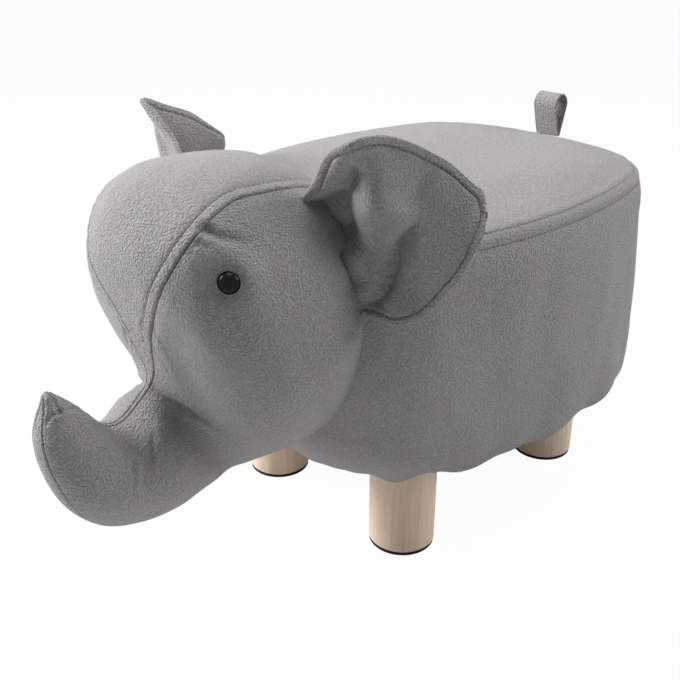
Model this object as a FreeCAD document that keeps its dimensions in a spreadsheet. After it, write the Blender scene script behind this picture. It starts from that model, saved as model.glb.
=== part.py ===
import FreeCAD, Part
import math
import os
import Sketcher
from FreeCAD import Placement, Rotation, Vector

# A child's upholstered stool in the shape of an elephant. A timber box with a bent board wall is
# wrapped in foam and a sewn cover, stands on four round legs and carries a stuffed head, two ears
# and a tail loop. Millimetres. The elephant faces -Y, its left side is +X and +Z is up.
# The origin is on the floor, in the middle of the whole length.

os.makedirs("parts", exist_ok=True)
doc = FreeCAD.newDocument("elephant_stool")

# Driving sizes. Every length is a named cell, and shares are given with the outlines they shape.
SIZES = (
    ("overall_length", 555.6),
    ("seat_width", 300.0),
    ("seat_length", 380.0),
    ("rear_bulge", 3.6),
    ("seam_height", 274.0),
    ("crown_rise", 13.0),
    ("side_radius", 430.0),
    ("end_radius", 310.0),
    ("corner_radius", 92.0),
    ("seam_inset", 10.0),
    ("belly_drop", 33.0),
    ("belly_reach", 40.0),
    ("end_tuck", 5.5),
    ("belly_lean", 20.0),
    ("corner_skew", 10.0),
    ("side_lean", 33.0),
    ("cover_thickness", 1.5),
    ("soft_clearance", 0.3),
    ("joint_clearance", 0.15),
    ("foam_thickness", 25.0),
    ("hoop_thickness", 3.0),
    ("base_height", 95.0),
    ("base_thickness", 15.0),
    ("board_height", 228.0),
    ("board_thickness", 12.0),
    ("post_size", 28.0),
    ("post_inset_across", 98.0),
    ("post_inset_along", 62.0),
    ("post_screw_diameter", 4.0),
    ("post_screw_length", 42.0),
    ("post_screw_head_diameter", 8.0),
    ("post_screw_head_height", 2.4),
    ("leg_diameter", 54.0),
    ("leg_chamfer", 1.0),
    ("leg_inset_across", 73.0),
    ("leg_inset_along", 90.0),
    ("foot_pad_thickness", 2.5),
    ("foot_pad_diameter", 53.0),
    ("bolt_diameter", 8.0),
    ("bolt_depth", 45.0),
    ("tee_nut_barrel_diameter", 10.5),
    ("tee_nut_flange_diameter", 23.0),
    ("tee_nut_flange_thickness", 1.6),
    ("dust_cover_thickness", 0.8),
    ("dust_cover_inset", 35.0),
    ("flange_inset", 66.0),
    ("head_lap", 58.0),
    ("head_depth", 160.0),
    ("head_width", 200.0),
    ("head_height", 231.0),
    ("chin_height", 94.0),
    ("trunk_height", 118.0),
    ("trunk_base_height", 84.0),
    ("skin_thickness", 1.2),
    ("seam_gap", 0.4),
    ("eye_diameter", 15.5),
    ("eye_rise", 6.0),
    ("eye_shank_diameter", 4.0),
    ("eye_shank_length", 5.6),
    ("eye_washer_diameter", 11.0),
    ("eye_washer_thickness", 1.6),
    ("eye_washer_depth", 3.4),
    ("ear_length", 101.0),
    ("ear_height", 122.0),
    ("ear_skin_thickness", 1.8),
    ("ear_wadding_thickness", 1.8),
    ("ear_hem", 9.0),
    ("ear_layer_gap", 0.6),
    ("ear_fold_offset", 4.0),
    ("tail_width", 24.0),
    ("tail_height", 39.0),
    ("tail_radius", 10.0),
    ("tail_thickness", 1.6),
    ("tail_root_gap", 0.8),
    ("tail_seat_inset", 13.0),
    ("overrun", 2.0),
)

sheet = doc.addObject("Spreadsheet::Sheet", "Sizes")
for number, (alias, amount) in enumerate(SIZES, start=1):
    sheet.set("A%d" % number, alias)
    sheet.set("B%d" % number, str(amount))
    sheet.setAlias("B%d" % number, alias)
doc.recompute()


def size(alias):
    return float(sheet.get(alias))


# Where the seat's centre lies behind the origin, in numbers and as an expression.
REAR = size("seat_length") / 2 + size("rear_bulge")
SEAT_CENTRE = size("overall_length") / 2 - REAR
SEAT_CENTRE_RULE = "(Sizes.overall_length - Sizes.seat_length) / 2 - Sizes.rear_bulge"
SEAT_PLACE = Placement(Vector(0, SEAT_CENTRE, 0), Rotation())
SKIN = size("skin_thickness")
GAP = size("soft_clearance")
OVERRUN = size("overrun")

parts = {}


def keep(label, thing):
    thing.Label = label
    parts[label] = thing
    return thing


def keep_shape(label, shape):
    """Adds a solid worked out in code, in the seat's frame, under its own label."""
    thing = doc.addObject("Part::Feature", label)
    thing.Shape = shape
    thing.Placement = SEAT_PLACE
    return keep(label, thing)


def body_named(label, across_rule="0", along_rule="0", up_rule="0"):
    """Starts a body that is placed from the seat's centre by expressions."""
    body = doc.addObject("PartDesign::Body", label)
    body.setExpression("Placement.Base.x", across_rule)
    body.setExpression("Placement.Base.y", SEAT_CENTRE_RULE + " + (" + along_rule + ")")
    body.setExpression("Placement.Base.z", up_rule)
    return keep(label, body)


def sketch_on(body, name, role="XY_Plane", lift_rule=None):
    plane = [item for item in body.Origin.OriginFeatures if item.Role == role][0]
    sketch = body.newObject("Sketcher::SketchObject", name)
    sketch.AttachmentSupport = (plane, [""])
    sketch.MapMode = "FlatFace"
    if lift_rule:
        sketch.setExpression("AttachmentOffset.Base.z", lift_rule)
    return sketch


def bind(sketch, name, kind, geometry, rule):
    """Adds a driving constraint whose value follows an expression."""
    place = sketch.addConstraint(Sketcher.Constraint(kind, *geometry))
    sketch.renameConstraint(place, name)
    sketch.setExpression("Constraints." + name, rule)


def circle_sketch(body, name, diameter_rule, diameter, lift_rule=None):
    sketch = sketch_on(body, name, lift_rule=lift_rule)
    sketch.addGeometry(Part.Circle(Vector(0, 0, 0), Vector(0, 0, 1), diameter / 2), False)
    sketch.addConstraint(Sketcher.Constraint("Coincident", 0, 3, -1, 1))
    bind(sketch, "span", "Diameter", (0, diameter), diameter_rule)
    return sketch


def pad(body, name, sketch, length_rule, midplane=False):
    feature = body.newObject("PartDesign::Pad", name)
    feature.Profile = sketch
    feature.Midplane = midplane
    feature.setExpression("Length", length_rule)
    doc.recompute()
    return feature


def pocket(body, name, sketch, length_rule, reverse=False):
    """Cuts a sketch into the body, and checks that the cut took material away."""
    before = body.Shape.Volume
    feature = body.newObject("PartDesign::Pocket", name)
    feature.Profile = sketch
    feature.Reversed = reverse
    feature.setExpression("Length", length_rule)
    doc.recompute()
    if body.Shape.Volume >= before:
        raise RuntimeError(name + " cuts nothing")
    return feature


# The seat's outline seen from above

def oval(inset_across, inset_along, corner_extra=0.0, side_shift=0.0):
    """Half sizes, arc radii and the corner arc's centre of the outline at an inset."""
    half_width = size("seat_width") / 2 - inset_across
    half_length = size("seat_length") / 2 - inset_along
    side = size("side_radius") - inset_across
    end = size("end_radius") - inset_along
    corner = size("corner_radius") - (inset_across + inset_along) / 2 + corner_extra
    # The corner's centre lies at side - corner from one centre and end - corner from the other.
    side_centre = Vector(half_width - side, side_shift, 0)
    end_centre = Vector(0, half_length - end, 0)
    span = end_centre - side_centre
    gap = span.Length
    along = (gap ** 2 + (side - corner) ** 2 - (end - corner) ** 2) / (2 * gap)
    away = math.sqrt((side - corner) ** 2 - along ** 2)
    towards = span / gap
    outward = Vector(-towards.y, towards.x, 0)
    if outward.x + outward.y < 0:
        outward = outward * -1
    corner_centre = side_centre + towards * along + outward * away
    return half_width, half_length, side, end, corner, side_centre, end_centre, corner_centre


def oval_arcs(inset_across, inset_along, height=0.0, lean=0.0):
    """The outline as eight tangent arcs, from the right side round by the rear.

    The lean is the share of the low outline's own shape: further back, with its sides fullest
    behind the middle and its rear corners squarer than the front ones.
    """
    turn = math.pi / 2
    corners = []
    for way in (1, -1):
        facts = oval(inset_across, inset_along, -way * lean * size("corner_skew"),
                     way * lean * size("side_lean"))
        side, end, radius = facts[2:5]
        side_centre, end_centre, centre = facts[5:8]
        side_end = math.atan2(centre.y - side_centre.y, centre.x - side_centre.x)
        end_start = math.atan2(centre.y - end_centre.y, centre.x - end_centre.x)
        corners.append((centre, radius, side_end, end_start, side_centre))
    rear, rear_radius, rear_side, rear_end, left_centre = corners[0]
    front, front_radius, front_side, front_end = corners[1][:4]
    right_centre = Vector(-left_centre.x, left_centre.y, 0)
    lift = Vector(0, lean * size("belly_lean"), height)
    up = Vector(0, 0, 1)
    arcs = []
    plan = (
        (left_centre, side, -front_side, rear_side),
        (rear, rear_radius, rear_side, rear_end),
        (end_centre, end, rear_end, 2 * turn - rear_end),
        (Vector(-rear.x, rear.y, 0), rear_radius, 2 * turn - rear_end, 2 * turn - rear_side),
        (right_centre, side, 2 * turn - rear_side, 2 * turn + front_side),
        (front * -1, front_radius, 2 * turn + front_side, 2 * turn + front_end),
        (end_centre * -1, end, 2 * turn + front_end, 4 * turn - front_end),
        (Vector(front.x, -front.y, 0), front_radius, 4 * turn - front_end,
         4 * turn - front_side),
    )
    for centre, radius, start, stop in plan:
        arcs.append(Part.ArcOfCircle(Part.Circle(centre + lift, up, radius), start, stop))
    return arcs


def oval_wire(height, inset_across, inset_along, lean=0.0):
    arcs = oval_arcs(inset_across, inset_along, height, lean)
    return Part.Wire([arc.toShape() for arc in arcs])


def oval_sketch(body, name, inset_aliases, lift_rule=None):
    """The same outline as a constrained sketch, inset by a sum of named sizes."""
    inset = sum(size(alias) for alias in inset_aliases)
    rule = "".join(" - Sizes." + alias for alias in inset_aliases)
    half_width, half_length, side, end, corner = oval(inset, inset)[:5]
    sketch = sketch_on(body, name, lift_rule=lift_rule)
    sketch.addGeometry(oval_arcs(inset, inset), False)
    for first in range(8):
        joint = (first, 2, (first + 1) % 8, 1)
        sketch.addConstraint(Sketcher.Constraint("Tangent", *joint))
    for first, second in ((0, 4), (2, 6), (1, 3), (1, 5), (1, 7)):
        sketch.addConstraint(Sketcher.Constraint("Equal", first, second))
    for arc, axis in ((0, -1), (4, -1), (2, -2), (6, -2)):
        sketch.addConstraint(Sketcher.Constraint("PointOnObject", arc, 3, axis))
    across = "Sizes.side_radius - Sizes.seat_width / 2"
    along = "Sizes.end_radius - Sizes.seat_length / 2"
    bind(sketch, "side_radius", "Radius", (0, side), "Sizes.side_radius" + rule)
    bind(sketch, "end_radius", "Radius", (2, end), "Sizes.end_radius" + rule)
    bind(sketch, "corner_radius", "Radius", (1, corner), "Sizes.corner_radius" + rule)
    bind(sketch, "right_centre", "DistanceX", (0, 3, -1, 1, side - half_width), across)
    bind(sketch, "left_centre", "DistanceX", (-1, 1, 4, 3, side - half_width), across)
    bind(sketch, "rear_centre", "DistanceY", (2, 3, -1, 1, end - half_length), along)
    bind(sketch, "front_centre", "DistanceY", (-1, 1, 6, 3, end - half_length), along)
    return sketch


# Timber frame

BOARD_INSET = ("foam_thickness", "hoop_thickness")
LEG_SIDES = (("front_left", 1, -1), ("front_right", -1, -1),
             ("rear_left", 1, 1), ("rear_right", -1, 1))


def corner_rules(across_sign, along_sign, kind):
    """Where a leg or post stands: in from the seat's side and from its end."""
    across = "%d * (Sizes.seat_width / 2 - Sizes.%s_inset_across)" % (across_sign, kind)
    along = "%d * (Sizes.seat_length / 2 - Sizes.%s_inset_along)" % (along_sign, kind)
    return across, along


def corner_points(kind):
    across = size("seat_width") / 2 - size(kind + "_inset_across")
    along = size("seat_length") / 2 - size(kind + "_inset_along")
    return [Vector(sx * across, sy * along, 0) for _, sx, sy in LEG_SIDES]


def holes(body, name, kind, diameter_rule, diameter, lift_rule):
    """Four round holes through a board, one under or over each corner point."""
    sketch = sketch_on(body, name + "_outline", lift_rule=lift_rule)
    across, along = corner_rules(1, 1, kind)
    for place, point in enumerate(corner_points(kind)):
        sketch.addGeometry(Part.Circle(point, Vector(0, 0, 1), diameter / 2), False)
        ends_across = (-1, 1, place, 3) if point.x > 0 else (place, 3, -1, 1)
        ends_along = (-1, 1, place, 3) if point.y > 0 else (place, 3, -1, 1)
        bind(sketch, "across%d" % place, "DistanceX", ends_across + (abs(point.x),), across)
        bind(sketch, "along%d" % place, "DistanceY", ends_along + (abs(point.y),), along)
        bind(sketch, "span%d" % place, "Diameter", (place, diameter), diameter_rule)
    return sketch


def make_board(label, height_alias, thickness_alias):
    body = body_named(label, up_rule="Sizes." + height_alias)
    outline = oval_sketch(body, label + "_outline", BOARD_INSET)
    pad(body, label + "_pad", outline, "Sizes." + thickness_alias)
    return body


base_board = make_board("base_board", "base_height", "base_thickness")
NUT_HOLE = size("tee_nut_barrel_diameter") + 2 * size("joint_clearance")
NUT_HOLE_RULE = "Sizes.tee_nut_barrel_diameter + 2 * Sizes.joint_clearance"
nut_holes = holes(base_board, "nut_holes", "leg", NUT_HOLE_RULE, NUT_HOLE,
                  "Sizes.base_thickness")
pocket(base_board, "nut_hole_pocket", nut_holes, "Sizes.base_thickness")
SCREW_HOLE = size("post_screw_diameter") + 2 * size("joint_clearance")
SCREW_HOLE_RULE = "Sizes.post_screw_diameter + 2 * Sizes.joint_clearance"
base_holes = holes(base_board, "screw_holes", "post", SCREW_HOLE_RULE, SCREW_HOLE,
                   "Sizes.base_thickness")
pocket(base_board, "screw_hole_pocket", base_holes, "Sizes.base_thickness")
seat_board = make_board("seat_board", "board_height", "board_thickness")
seat_holes = holes(seat_board, "screw_holes", "post", SCREW_HOLE_RULE, SCREW_HOLE,
                   "Sizes.board_thickness")
pocket(seat_board, "screw_hole_pocket", seat_holes, "Sizes.board_thickness")
SINK_RULE = "Sizes.post_screw_head_diameter + 2 * Sizes.joint_clearance"
SINK = size("post_screw_head_diameter") + 2 * size("joint_clearance")
SINK_DEPTH_RULE = "Sizes.post_screw_head_height + Sizes.joint_clearance"
seat_sinks = holes(seat_board, "screw_sinks", "post", SINK_RULE, SINK, "Sizes.board_thickness")
pocket(seat_board, "screw_sink_pocket", seat_sinks, SINK_DEPTH_RULE)
base_sinks = holes(base_board, "screw_sinks", "post", SINK_RULE, SINK, None)
pocket(base_board, "screw_sink_pocket", base_sinks, SINK_DEPTH_RULE, reverse=True)

HOOP_RULE = "Sizes.board_height + Sizes.board_thickness - Sizes.base_height"
side_hoop = body_named("side_hoop", up_rule="Sizes.base_height")
pad(side_hoop, "hoop_pad", oval_sketch(side_hoop, "hoop_outside", ("foam_thickness",)), HOOP_RULE)
pocket(side_hoop, "hoop_hollow",
       oval_sketch(side_hoop, "hoop_inside", BOARD_INSET, lift_rule=HOOP_RULE), HOOP_RULE)

POST_RULE = "Sizes.board_height - Sizes.base_height - Sizes.base_thickness"
POST_FOOT_RULE = "Sizes.base_height + Sizes.base_thickness"
for side_name, across_sign, along_sign in LEG_SIDES:
    across, along = corner_rules(across_sign, along_sign, "post")
    post = body_named("post_" + side_name, across, along, POST_FOOT_RULE)
    outline = sketch_on(post, "post_outline_" + side_name)
    half = size("post_size") / 2
    corners = [Vector(-half, -half, 0), Vector(half, -half, 0),
               Vector(half, half, 0), Vector(-half, half, 0)]
    for first in range(4):
        outline.addGeometry(Part.LineSegment(corners[first], corners[(first + 1) % 4]), False)
    for first in range(4):
        joint = (first, 2, (first + 1) % 4, 1)
        outline.addConstraint(Sketcher.Constraint("Coincident", *joint))
    for first, kind in enumerate(("Horizontal", "Vertical", "Horizontal", "Vertical")):
        outline.addConstraint(Sketcher.Constraint(kind, first))
    outline.addConstraint(Sketcher.Constraint("Symmetric", 0, 1, 1, 2, -1, 1))
    bind(outline, "width", "DistanceX", (0, 1, 0, 2, 2 * half), "Sizes.post_size")
    bind(outline, "depth", "DistanceY", (1, 1, 1, 2, 2 * half), "Sizes.post_size")
    pad(post, "post_pad_" + side_name, outline, POST_RULE)
    low = circle_sketch(post, "low_hole_" + side_name, SCREW_HOLE_RULE, SCREW_HOLE)
    pocket(post, "low_pocket_" + side_name, low,
           "Sizes.post_screw_length - Sizes.base_thickness + Sizes.joint_clearance",
           reverse=True)
    high = circle_sketch(post, "high_hole_" + side_name, SCREW_HOLE_RULE, SCREW_HOLE,
                         lift_rule=POST_RULE)
    pocket(post, "high_pocket_" + side_name, high,
           "Sizes.post_screw_length - Sizes.board_thickness + Sizes.joint_clearance")


# Fasteners

def turned(label_points, profile):
    """Revolves a profile of (radius, height) points about a vertical axis at each point."""
    solids = []
    for point in label_points:
        corners = [Vector(point.x + radius, point.y, height) for radius, height in profile]
        face = Part.Face(Part.makePolygon(corners + corners[:1]))
        solids.append(face.revolve(point, Vector(0, 0, 1), 360))
    return Part.makeCompound(solids)


def screw_profile(head_height, tip_height):
    """A countersunk screw as (radius, height) points; it points up or down by its tip."""
    towards = 1 if tip_height > head_height else -1
    head = size("post_screw_head_diameter") / 2
    shank = size("post_screw_diameter") / 2
    neck = head_height + towards * size("post_screw_head_height")
    point_start = tip_height - towards * 2 * shank
    return [(0, head_height), (head, head_height), (shank, neck), (shank, point_start),
            (0, tip_height)]


BASE = size("base_height")
BASE_TOP = BASE + size("base_thickness")
BOARD_TOP = size("board_height") + size("board_thickness")
low_screws = turned(corner_points("post"),
                    screw_profile(BASE, BASE + size("post_screw_length")))
high_screws = turned(corner_points("post"),
                     screw_profile(BOARD_TOP, BOARD_TOP - size("post_screw_length")))
keep_shape("post_screws", Part.makeCompound(low_screws.Solids + high_screws.Solids))

BOLT = size("bolt_diameter") / 2
BARREL = size("tee_nut_barrel_diameter") / 2
FLANGE = size("tee_nut_flange_diameter") / 2
FLANGE_TOP = BASE_TOP + size("tee_nut_flange_thickness")
BORE = BOLT + size("joint_clearance")
keep_shape("tee_nuts", turned(corner_points("leg"), [
    (BORE, BASE), (BARREL, BASE), (BARREL, BASE_TOP), (FLANGE, BASE_TOP),
    (FLANGE, FLANGE_TOP), (BORE, FLANGE_TOP)]))
keep_shape("hanger_bolts", turned(corner_points("leg"), [
    (0, BASE - size("bolt_depth")), (BOLT, BASE - size("bolt_depth") + BOLT),
    (BOLT, FLANGE_TOP), (0, FLANGE_TOP)]))


# Legs and foot pads

LEG_RULE = "Sizes.base_height - Sizes.foot_pad_thickness"
for side_name, across_sign, along_sign in LEG_SIDES:
    across, along = corner_rules(across_sign, along_sign, "leg")
    leg = body_named("leg_" + side_name, across, along, "Sizes.foot_pad_thickness")
    round_outline = circle_sketch(leg, "leg_outline_" + side_name, "Sizes.leg_diameter",
                                  size("leg_diameter"))
    stem = pad(leg, "leg_pad_" + side_name, round_outline, LEG_RULE)
    bore = circle_sketch(leg, "bore_outline_" + side_name,
                         "Sizes.bolt_diameter + 2 * Sizes.joint_clearance", 2 * BORE,
                         lift_rule=LEG_RULE)
    drilled = pocket(leg, "bore_" + side_name, bore,
                     "Sizes.bolt_depth + Sizes.joint_clearance")
    rounds = [place for place, edge in enumerate(drilled.Shape.Edges)
              if len(edge.Vertexes) == 1]
    lowest = min(rounds, key=lambda place: drilled.Shape.Edges[place].BoundBox.ZMax)
    bevel = leg.newObject("PartDesign::Chamfer", "leg_bevel_" + side_name)
    bevel.Base = (drilled, ["Edge%d" % (lowest + 1)])
    bevel.setExpression("Size", "Sizes.leg_chamfer")
    leg.Tip = bevel
    doc.recompute()

pads = []
for point in corner_points("leg"):
    pads.append(Part.makeCylinder(size("foot_pad_diameter") / 2, size("foot_pad_thickness"),
                                  point))
keep_shape("foot_pads", Part.makeCompound(pads))


# Foam and sewn cover of the seat

def loft(wires):
    """A closed solid through the sections, straight from each to the next."""
    solid = Part.makeLoft(wires, True, True)
    if solid.Volume < 0:
        solid.reverse()
    return solid


def biggest(shape):
    return max(shape.Solids, key=lambda solid: solid.Volume)


SEAM = size("seam_height")
DROP = size("belly_drop")
REACH = size("belly_reach")
TUCK = size("end_tuck")
COVER = size("cover_thickness")
WALL = SEAM - BASE
# Wall levels: height as a share of the wall above the base board, or of the belly drop below
# it, then the inset as shares of seam inset and belly reach, the lean, and the way outward.
wall_shares = (
    (0.945, 0.50, 0.00, 0.00, (0.95, 0.30)),
    (0.760, 0.08, 0.00, 0.00, (1.00, 0.05)),
    (0.530, 0.00, 0.00, 0.08, (1.00, 0.00)),
    (0.270, 0.10, 0.00, 0.28, (1.00, -0.05)),
    (0.140, 0.20, 0.00, 0.42, (0.98, -0.15)),
    (0.030, 0.40, 0.01, 0.56, (0.95, -0.30)),
)
belly_shares = (
    (0.30, 0.50, 0.10, 0.78, (0.90, -0.45)),
    (0.61, 0.50, 0.24, 0.90, (0.75, -0.65)),
    (0.88, 0.50, 0.50, 0.95, (0.45, -0.90)),
    (1.00, 0.50, 0.76, 0.85, (0.00, -1.00)),
    (0.88, 0.50, 0.97, 0.65, (-0.70, -0.70)),
    (0.60, 0.50, 1.06, 0.35, (-1.00, -0.10)),
)
# The rolled edge ends under the base board, where the flange starts.
FLANGE_REACH_SHARE = 1.13
FLANGE_LEAN_SHARE = 0.20


def wall_levels(inside, top):
    """(height, insets, lean) of the cover's wall, moved inward by a thickness."""
    levels = [(top, size("seam_inset") + inside, size("seam_inset") + inside, 0.0)]
    for table, foot, span in ((wall_shares, BASE, WALL), (belly_shares, BASE, -DROP)):
        for up, seam_part, reach_part, lean, outward in table:
            across = seam_part * size("seam_inset") + reach_part * REACH
            along = across + lean * TUCK
            out_part, up_part = outward
            levels.append((foot + up * span - up_part * inside, across + out_part * inside,
                           along + out_part * inside, lean))
    across = size("seam_inset") / 2 + FLANGE_REACH_SHARE * REACH - inside
    levels.append((BASE - COVER + inside, across, across + FLANGE_LEAN_SHARE * TUCK,
                   FLANGE_LEAN_SHARE))
    return levels


def wall_solid(inside=0.0, top=SEAM):
    """The seat's wall and belly, as a closed solid with a hollow underside."""
    return loft([oval_wire(*level) for level in wall_levels(inside, top)])


# Crown levels: spread as a share of the seam's outline, and rise as a share of the crown.
crown_shares = ((1.00, 0.0), (0.97, 0.14), (0.91, 0.36), (0.80, 0.62), (0.62, 0.85),
                (0.38, 0.97), (0.20, 1.0))


def crown_wires(inside=0.0):
    wires = []
    edge = size("seam_inset") + inside
    for spread_share, rise_share in crown_shares:
        height = SEAM + rise_share * size("crown_rise") - inside
        wire = oval_wire(height, edge, edge)
        wire.scale(spread_share, Vector(0, 0, height))
        wires.append(wire)
    return wires


LEG_GAP = size("leg_diameter") / 2 + GAP
leg_ways = Part.makeCompound([Part.makeCylinder(LEG_GAP, BASE, point)
                              for point in corner_points("leg")])


def seat_solid(inside):
    """The whole seat, wall and crown, moved inward, or outward where inside is negative."""
    return wall_solid(inside, SEAM - inside).fuse(loft(crown_wires(inside))).removeSplitter()


flange_hole = Part.Face(oval_wire(0, size("flange_inset"), size("flange_inset")))
flange_hole = flange_hole.extrude(Vector(0, 0, BASE + OVERRUN))
side_cover = wall_solid().cut(wall_solid(COVER)).cut(leg_ways).cut(flange_hole)
keep_shape("side_cover", biggest(side_cover))
keep_shape("top_cover", biggest(loft(crown_wires()).cut(loft(crown_wires(COVER)))))

SOFT_INSET = COVER + GAP
foam_blank = seat_solid(SOFT_INSET)


def seat_block(low, high):
    """A block over the whole seat between two heights."""
    return Part.makeBox(size("seat_width"), size("seat_length"), high - low,
                        Vector(-size("seat_width") / 2, -size("seat_length") / 2, low))


core_inset = size("foam_thickness") - GAP
core = Part.Face(oval_wire(BASE - GAP, core_inset, core_inset)).extrude(Vector(0, 0, SEAM))
upper = seat_block(BOARD_TOP, SEAM + size("crown_rise"))
lower = seat_block(0, BOARD_TOP + GAP)
keep_shape("side_foam", biggest(foam_blank.cut(upper).cut(core).cut(leg_ways)))
keep_shape("seat_foam", biggest(foam_blank.cut(lower)))

# Dust cover, cut back round the legs
dust_cover = body_named("dust_cover", up_rule="Sizes.base_height - Sizes.cover_thickness"
                        " - Sizes.soft_clearance - Sizes.dust_cover_thickness")
DUST_INSET = BOARD_INSET + ("dust_cover_inset",)
pad(dust_cover, "dust_pad", oval_sketch(dust_cover, "dust_outline", DUST_INSET),
    "Sizes.dust_cover_thickness")
leg_holes = holes(dust_cover, "leg_holes", "leg",
                  "Sizes.leg_diameter + 2 * Sizes.soft_clearance", 2 * LEG_GAP,
                  "Sizes.dust_cover_thickness")
pocket(dust_cover, "leg_hole_pocket", leg_holes, "Sizes.dust_cover_thickness")


# Head and trunk

NECK = -(size("seat_length") / 2 - size("head_lap"))
HALF_HEAD = size("head_width") / 2
# Each section lies across the head between a top point and a bottom point on the middle plane.
# The points are shares of head depth forward and of head height up. The rest are shares of half
# the head's width: half width, the forehead seam's half spacing and drop, the chin seam's half
# spacing and rise.
head_shares = (
    (0.000, 0.835, 0.110, 0.080, 0.88, 0.58, 0.13, 0.36, 0.12),
    (0.220, 0.965, 0.240, 0.030, 0.96, 0.57, 0.11, 0.38, 0.12),
    (0.500, 1.000, 0.380, 0.015, 1.00, 0.56, 0.11, 0.37, 0.12),
    (0.700, 0.990, 0.430, 0.012, 0.98, 0.55, 0.10, 0.35, 0.12),
    (0.845, 0.942, 0.465, 0.010, 0.94, 0.56, 0.10, 0.33, 0.12),
    (0.988, 0.790, 0.520, 0.005, 0.75, 0.44, 0.09, 0.29, 0.11),
    (0.960, 0.600, 0.590, -0.010, 0.39, 0.20, 0.05, 0.22, 0.10),
    (0.902, 0.403, 0.690, -0.040, 0.35, 0.04, 0.01, 0.18, 0.08),
)
ROOT = head_shares[-1]
ROOT_FORWARD = size("head_depth") * ROOT[2]
TRUNK_LENGTH = size("overall_length") - REAR + NECK - ROOT_FORWARD
# Trunk sections: top and bottom points as shares of the trunk's length and height.
trunk_shares = (
    (0.373, 0.746, 0.288, 0.000),
    (0.517, 0.655, 0.550, 0.008),
    (0.600, 0.675, 0.735, 0.080),
    (0.645, 0.725, 0.870, 0.220),
    (0.705, 0.805, 0.975, 0.480),
    (0.790, 0.907, 1.000, 0.730),
    (0.885, 1.000, 0.935, 0.945),
)
# The trunk is round: its half width, seams and their drops are shares of its half thickness.
trunk_round_shares = (0.96, 0.05, 0.002, 0.42, 0.10)


def head_rows():
    rows = []
    for top_out, top_up, low_out, low_up, *round_shares in head_shares:
        top = Vector(0, NECK - top_out * size("head_depth"),
                     size("chin_height") + top_up * size("head_height"))
        low = Vector(0, NECK - low_out * size("head_depth"),
                     size("chin_height") + low_up * size("head_height"))
        rows.append((top, low, [share * HALF_HEAD for share in round_shares]))
    return rows


def trunk_rows():
    rows = []
    start = NECK - ROOT_FORWARD
    for top_out, top_up, low_out, low_up in trunk_shares:
        top = Vector(0, start - top_out * TRUNK_LENGTH,
                     size("trunk_base_height") + top_up * size("trunk_height"))
        low = Vector(0, start - low_out * TRUNK_LENGTH,
                     size("trunk_base_height") + low_up * size("trunk_height"))
        half = (top - low).Length / 2
        rows.append((top, low, [share * half for share in trunk_round_shares]))
    return rows


HEAD = head_rows()
TRUNK = trunk_rows()


def circle_through(first, second, third):
    """Centre and radius of the circle through three points of a section's plane."""
    turn = 2 * (first[0] * (second[1] - third[1]) + second[0] * (third[1] - first[1])
                + third[0] * (first[1] - second[1]))
    squares = [point[0] ** 2 + point[1] ** 2 for point in (first, second, third)]
    x = (squares[0] * (second[1] - third[1]) + squares[1] * (third[1] - first[1])
         + squares[2] * (first[1] - second[1])) / turn
    y = (squares[0] * (third[0] - second[0]) + squares[1] * (first[0] - third[0])
         + squares[2] * (second[0] - first[0])) / turn
    return (x, y), math.hypot(first[0] - x, first[1] - y)


def along_arc(arc, share, inside=0.0):
    """A point of a three-point arc at a share of its sweep, moved inward along the radius."""
    centre, radius = circle_through(*arc)
    angles = [math.atan2(point[1] - centre[1], point[0] - centre[0]) for point in arc]
    sweep = (angles[2] - angles[0]) % (2 * math.pi)
    part_way = (angles[1] - angles[0]) % (2 * math.pi)
    if part_way > sweep:
        sweep -= 2 * math.pi
    angle = angles[0] + share * sweep
    reach = radius - inside
    return (centre[0] + reach * math.cos(angle), centre[1] + reach * math.sin(angle))


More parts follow.
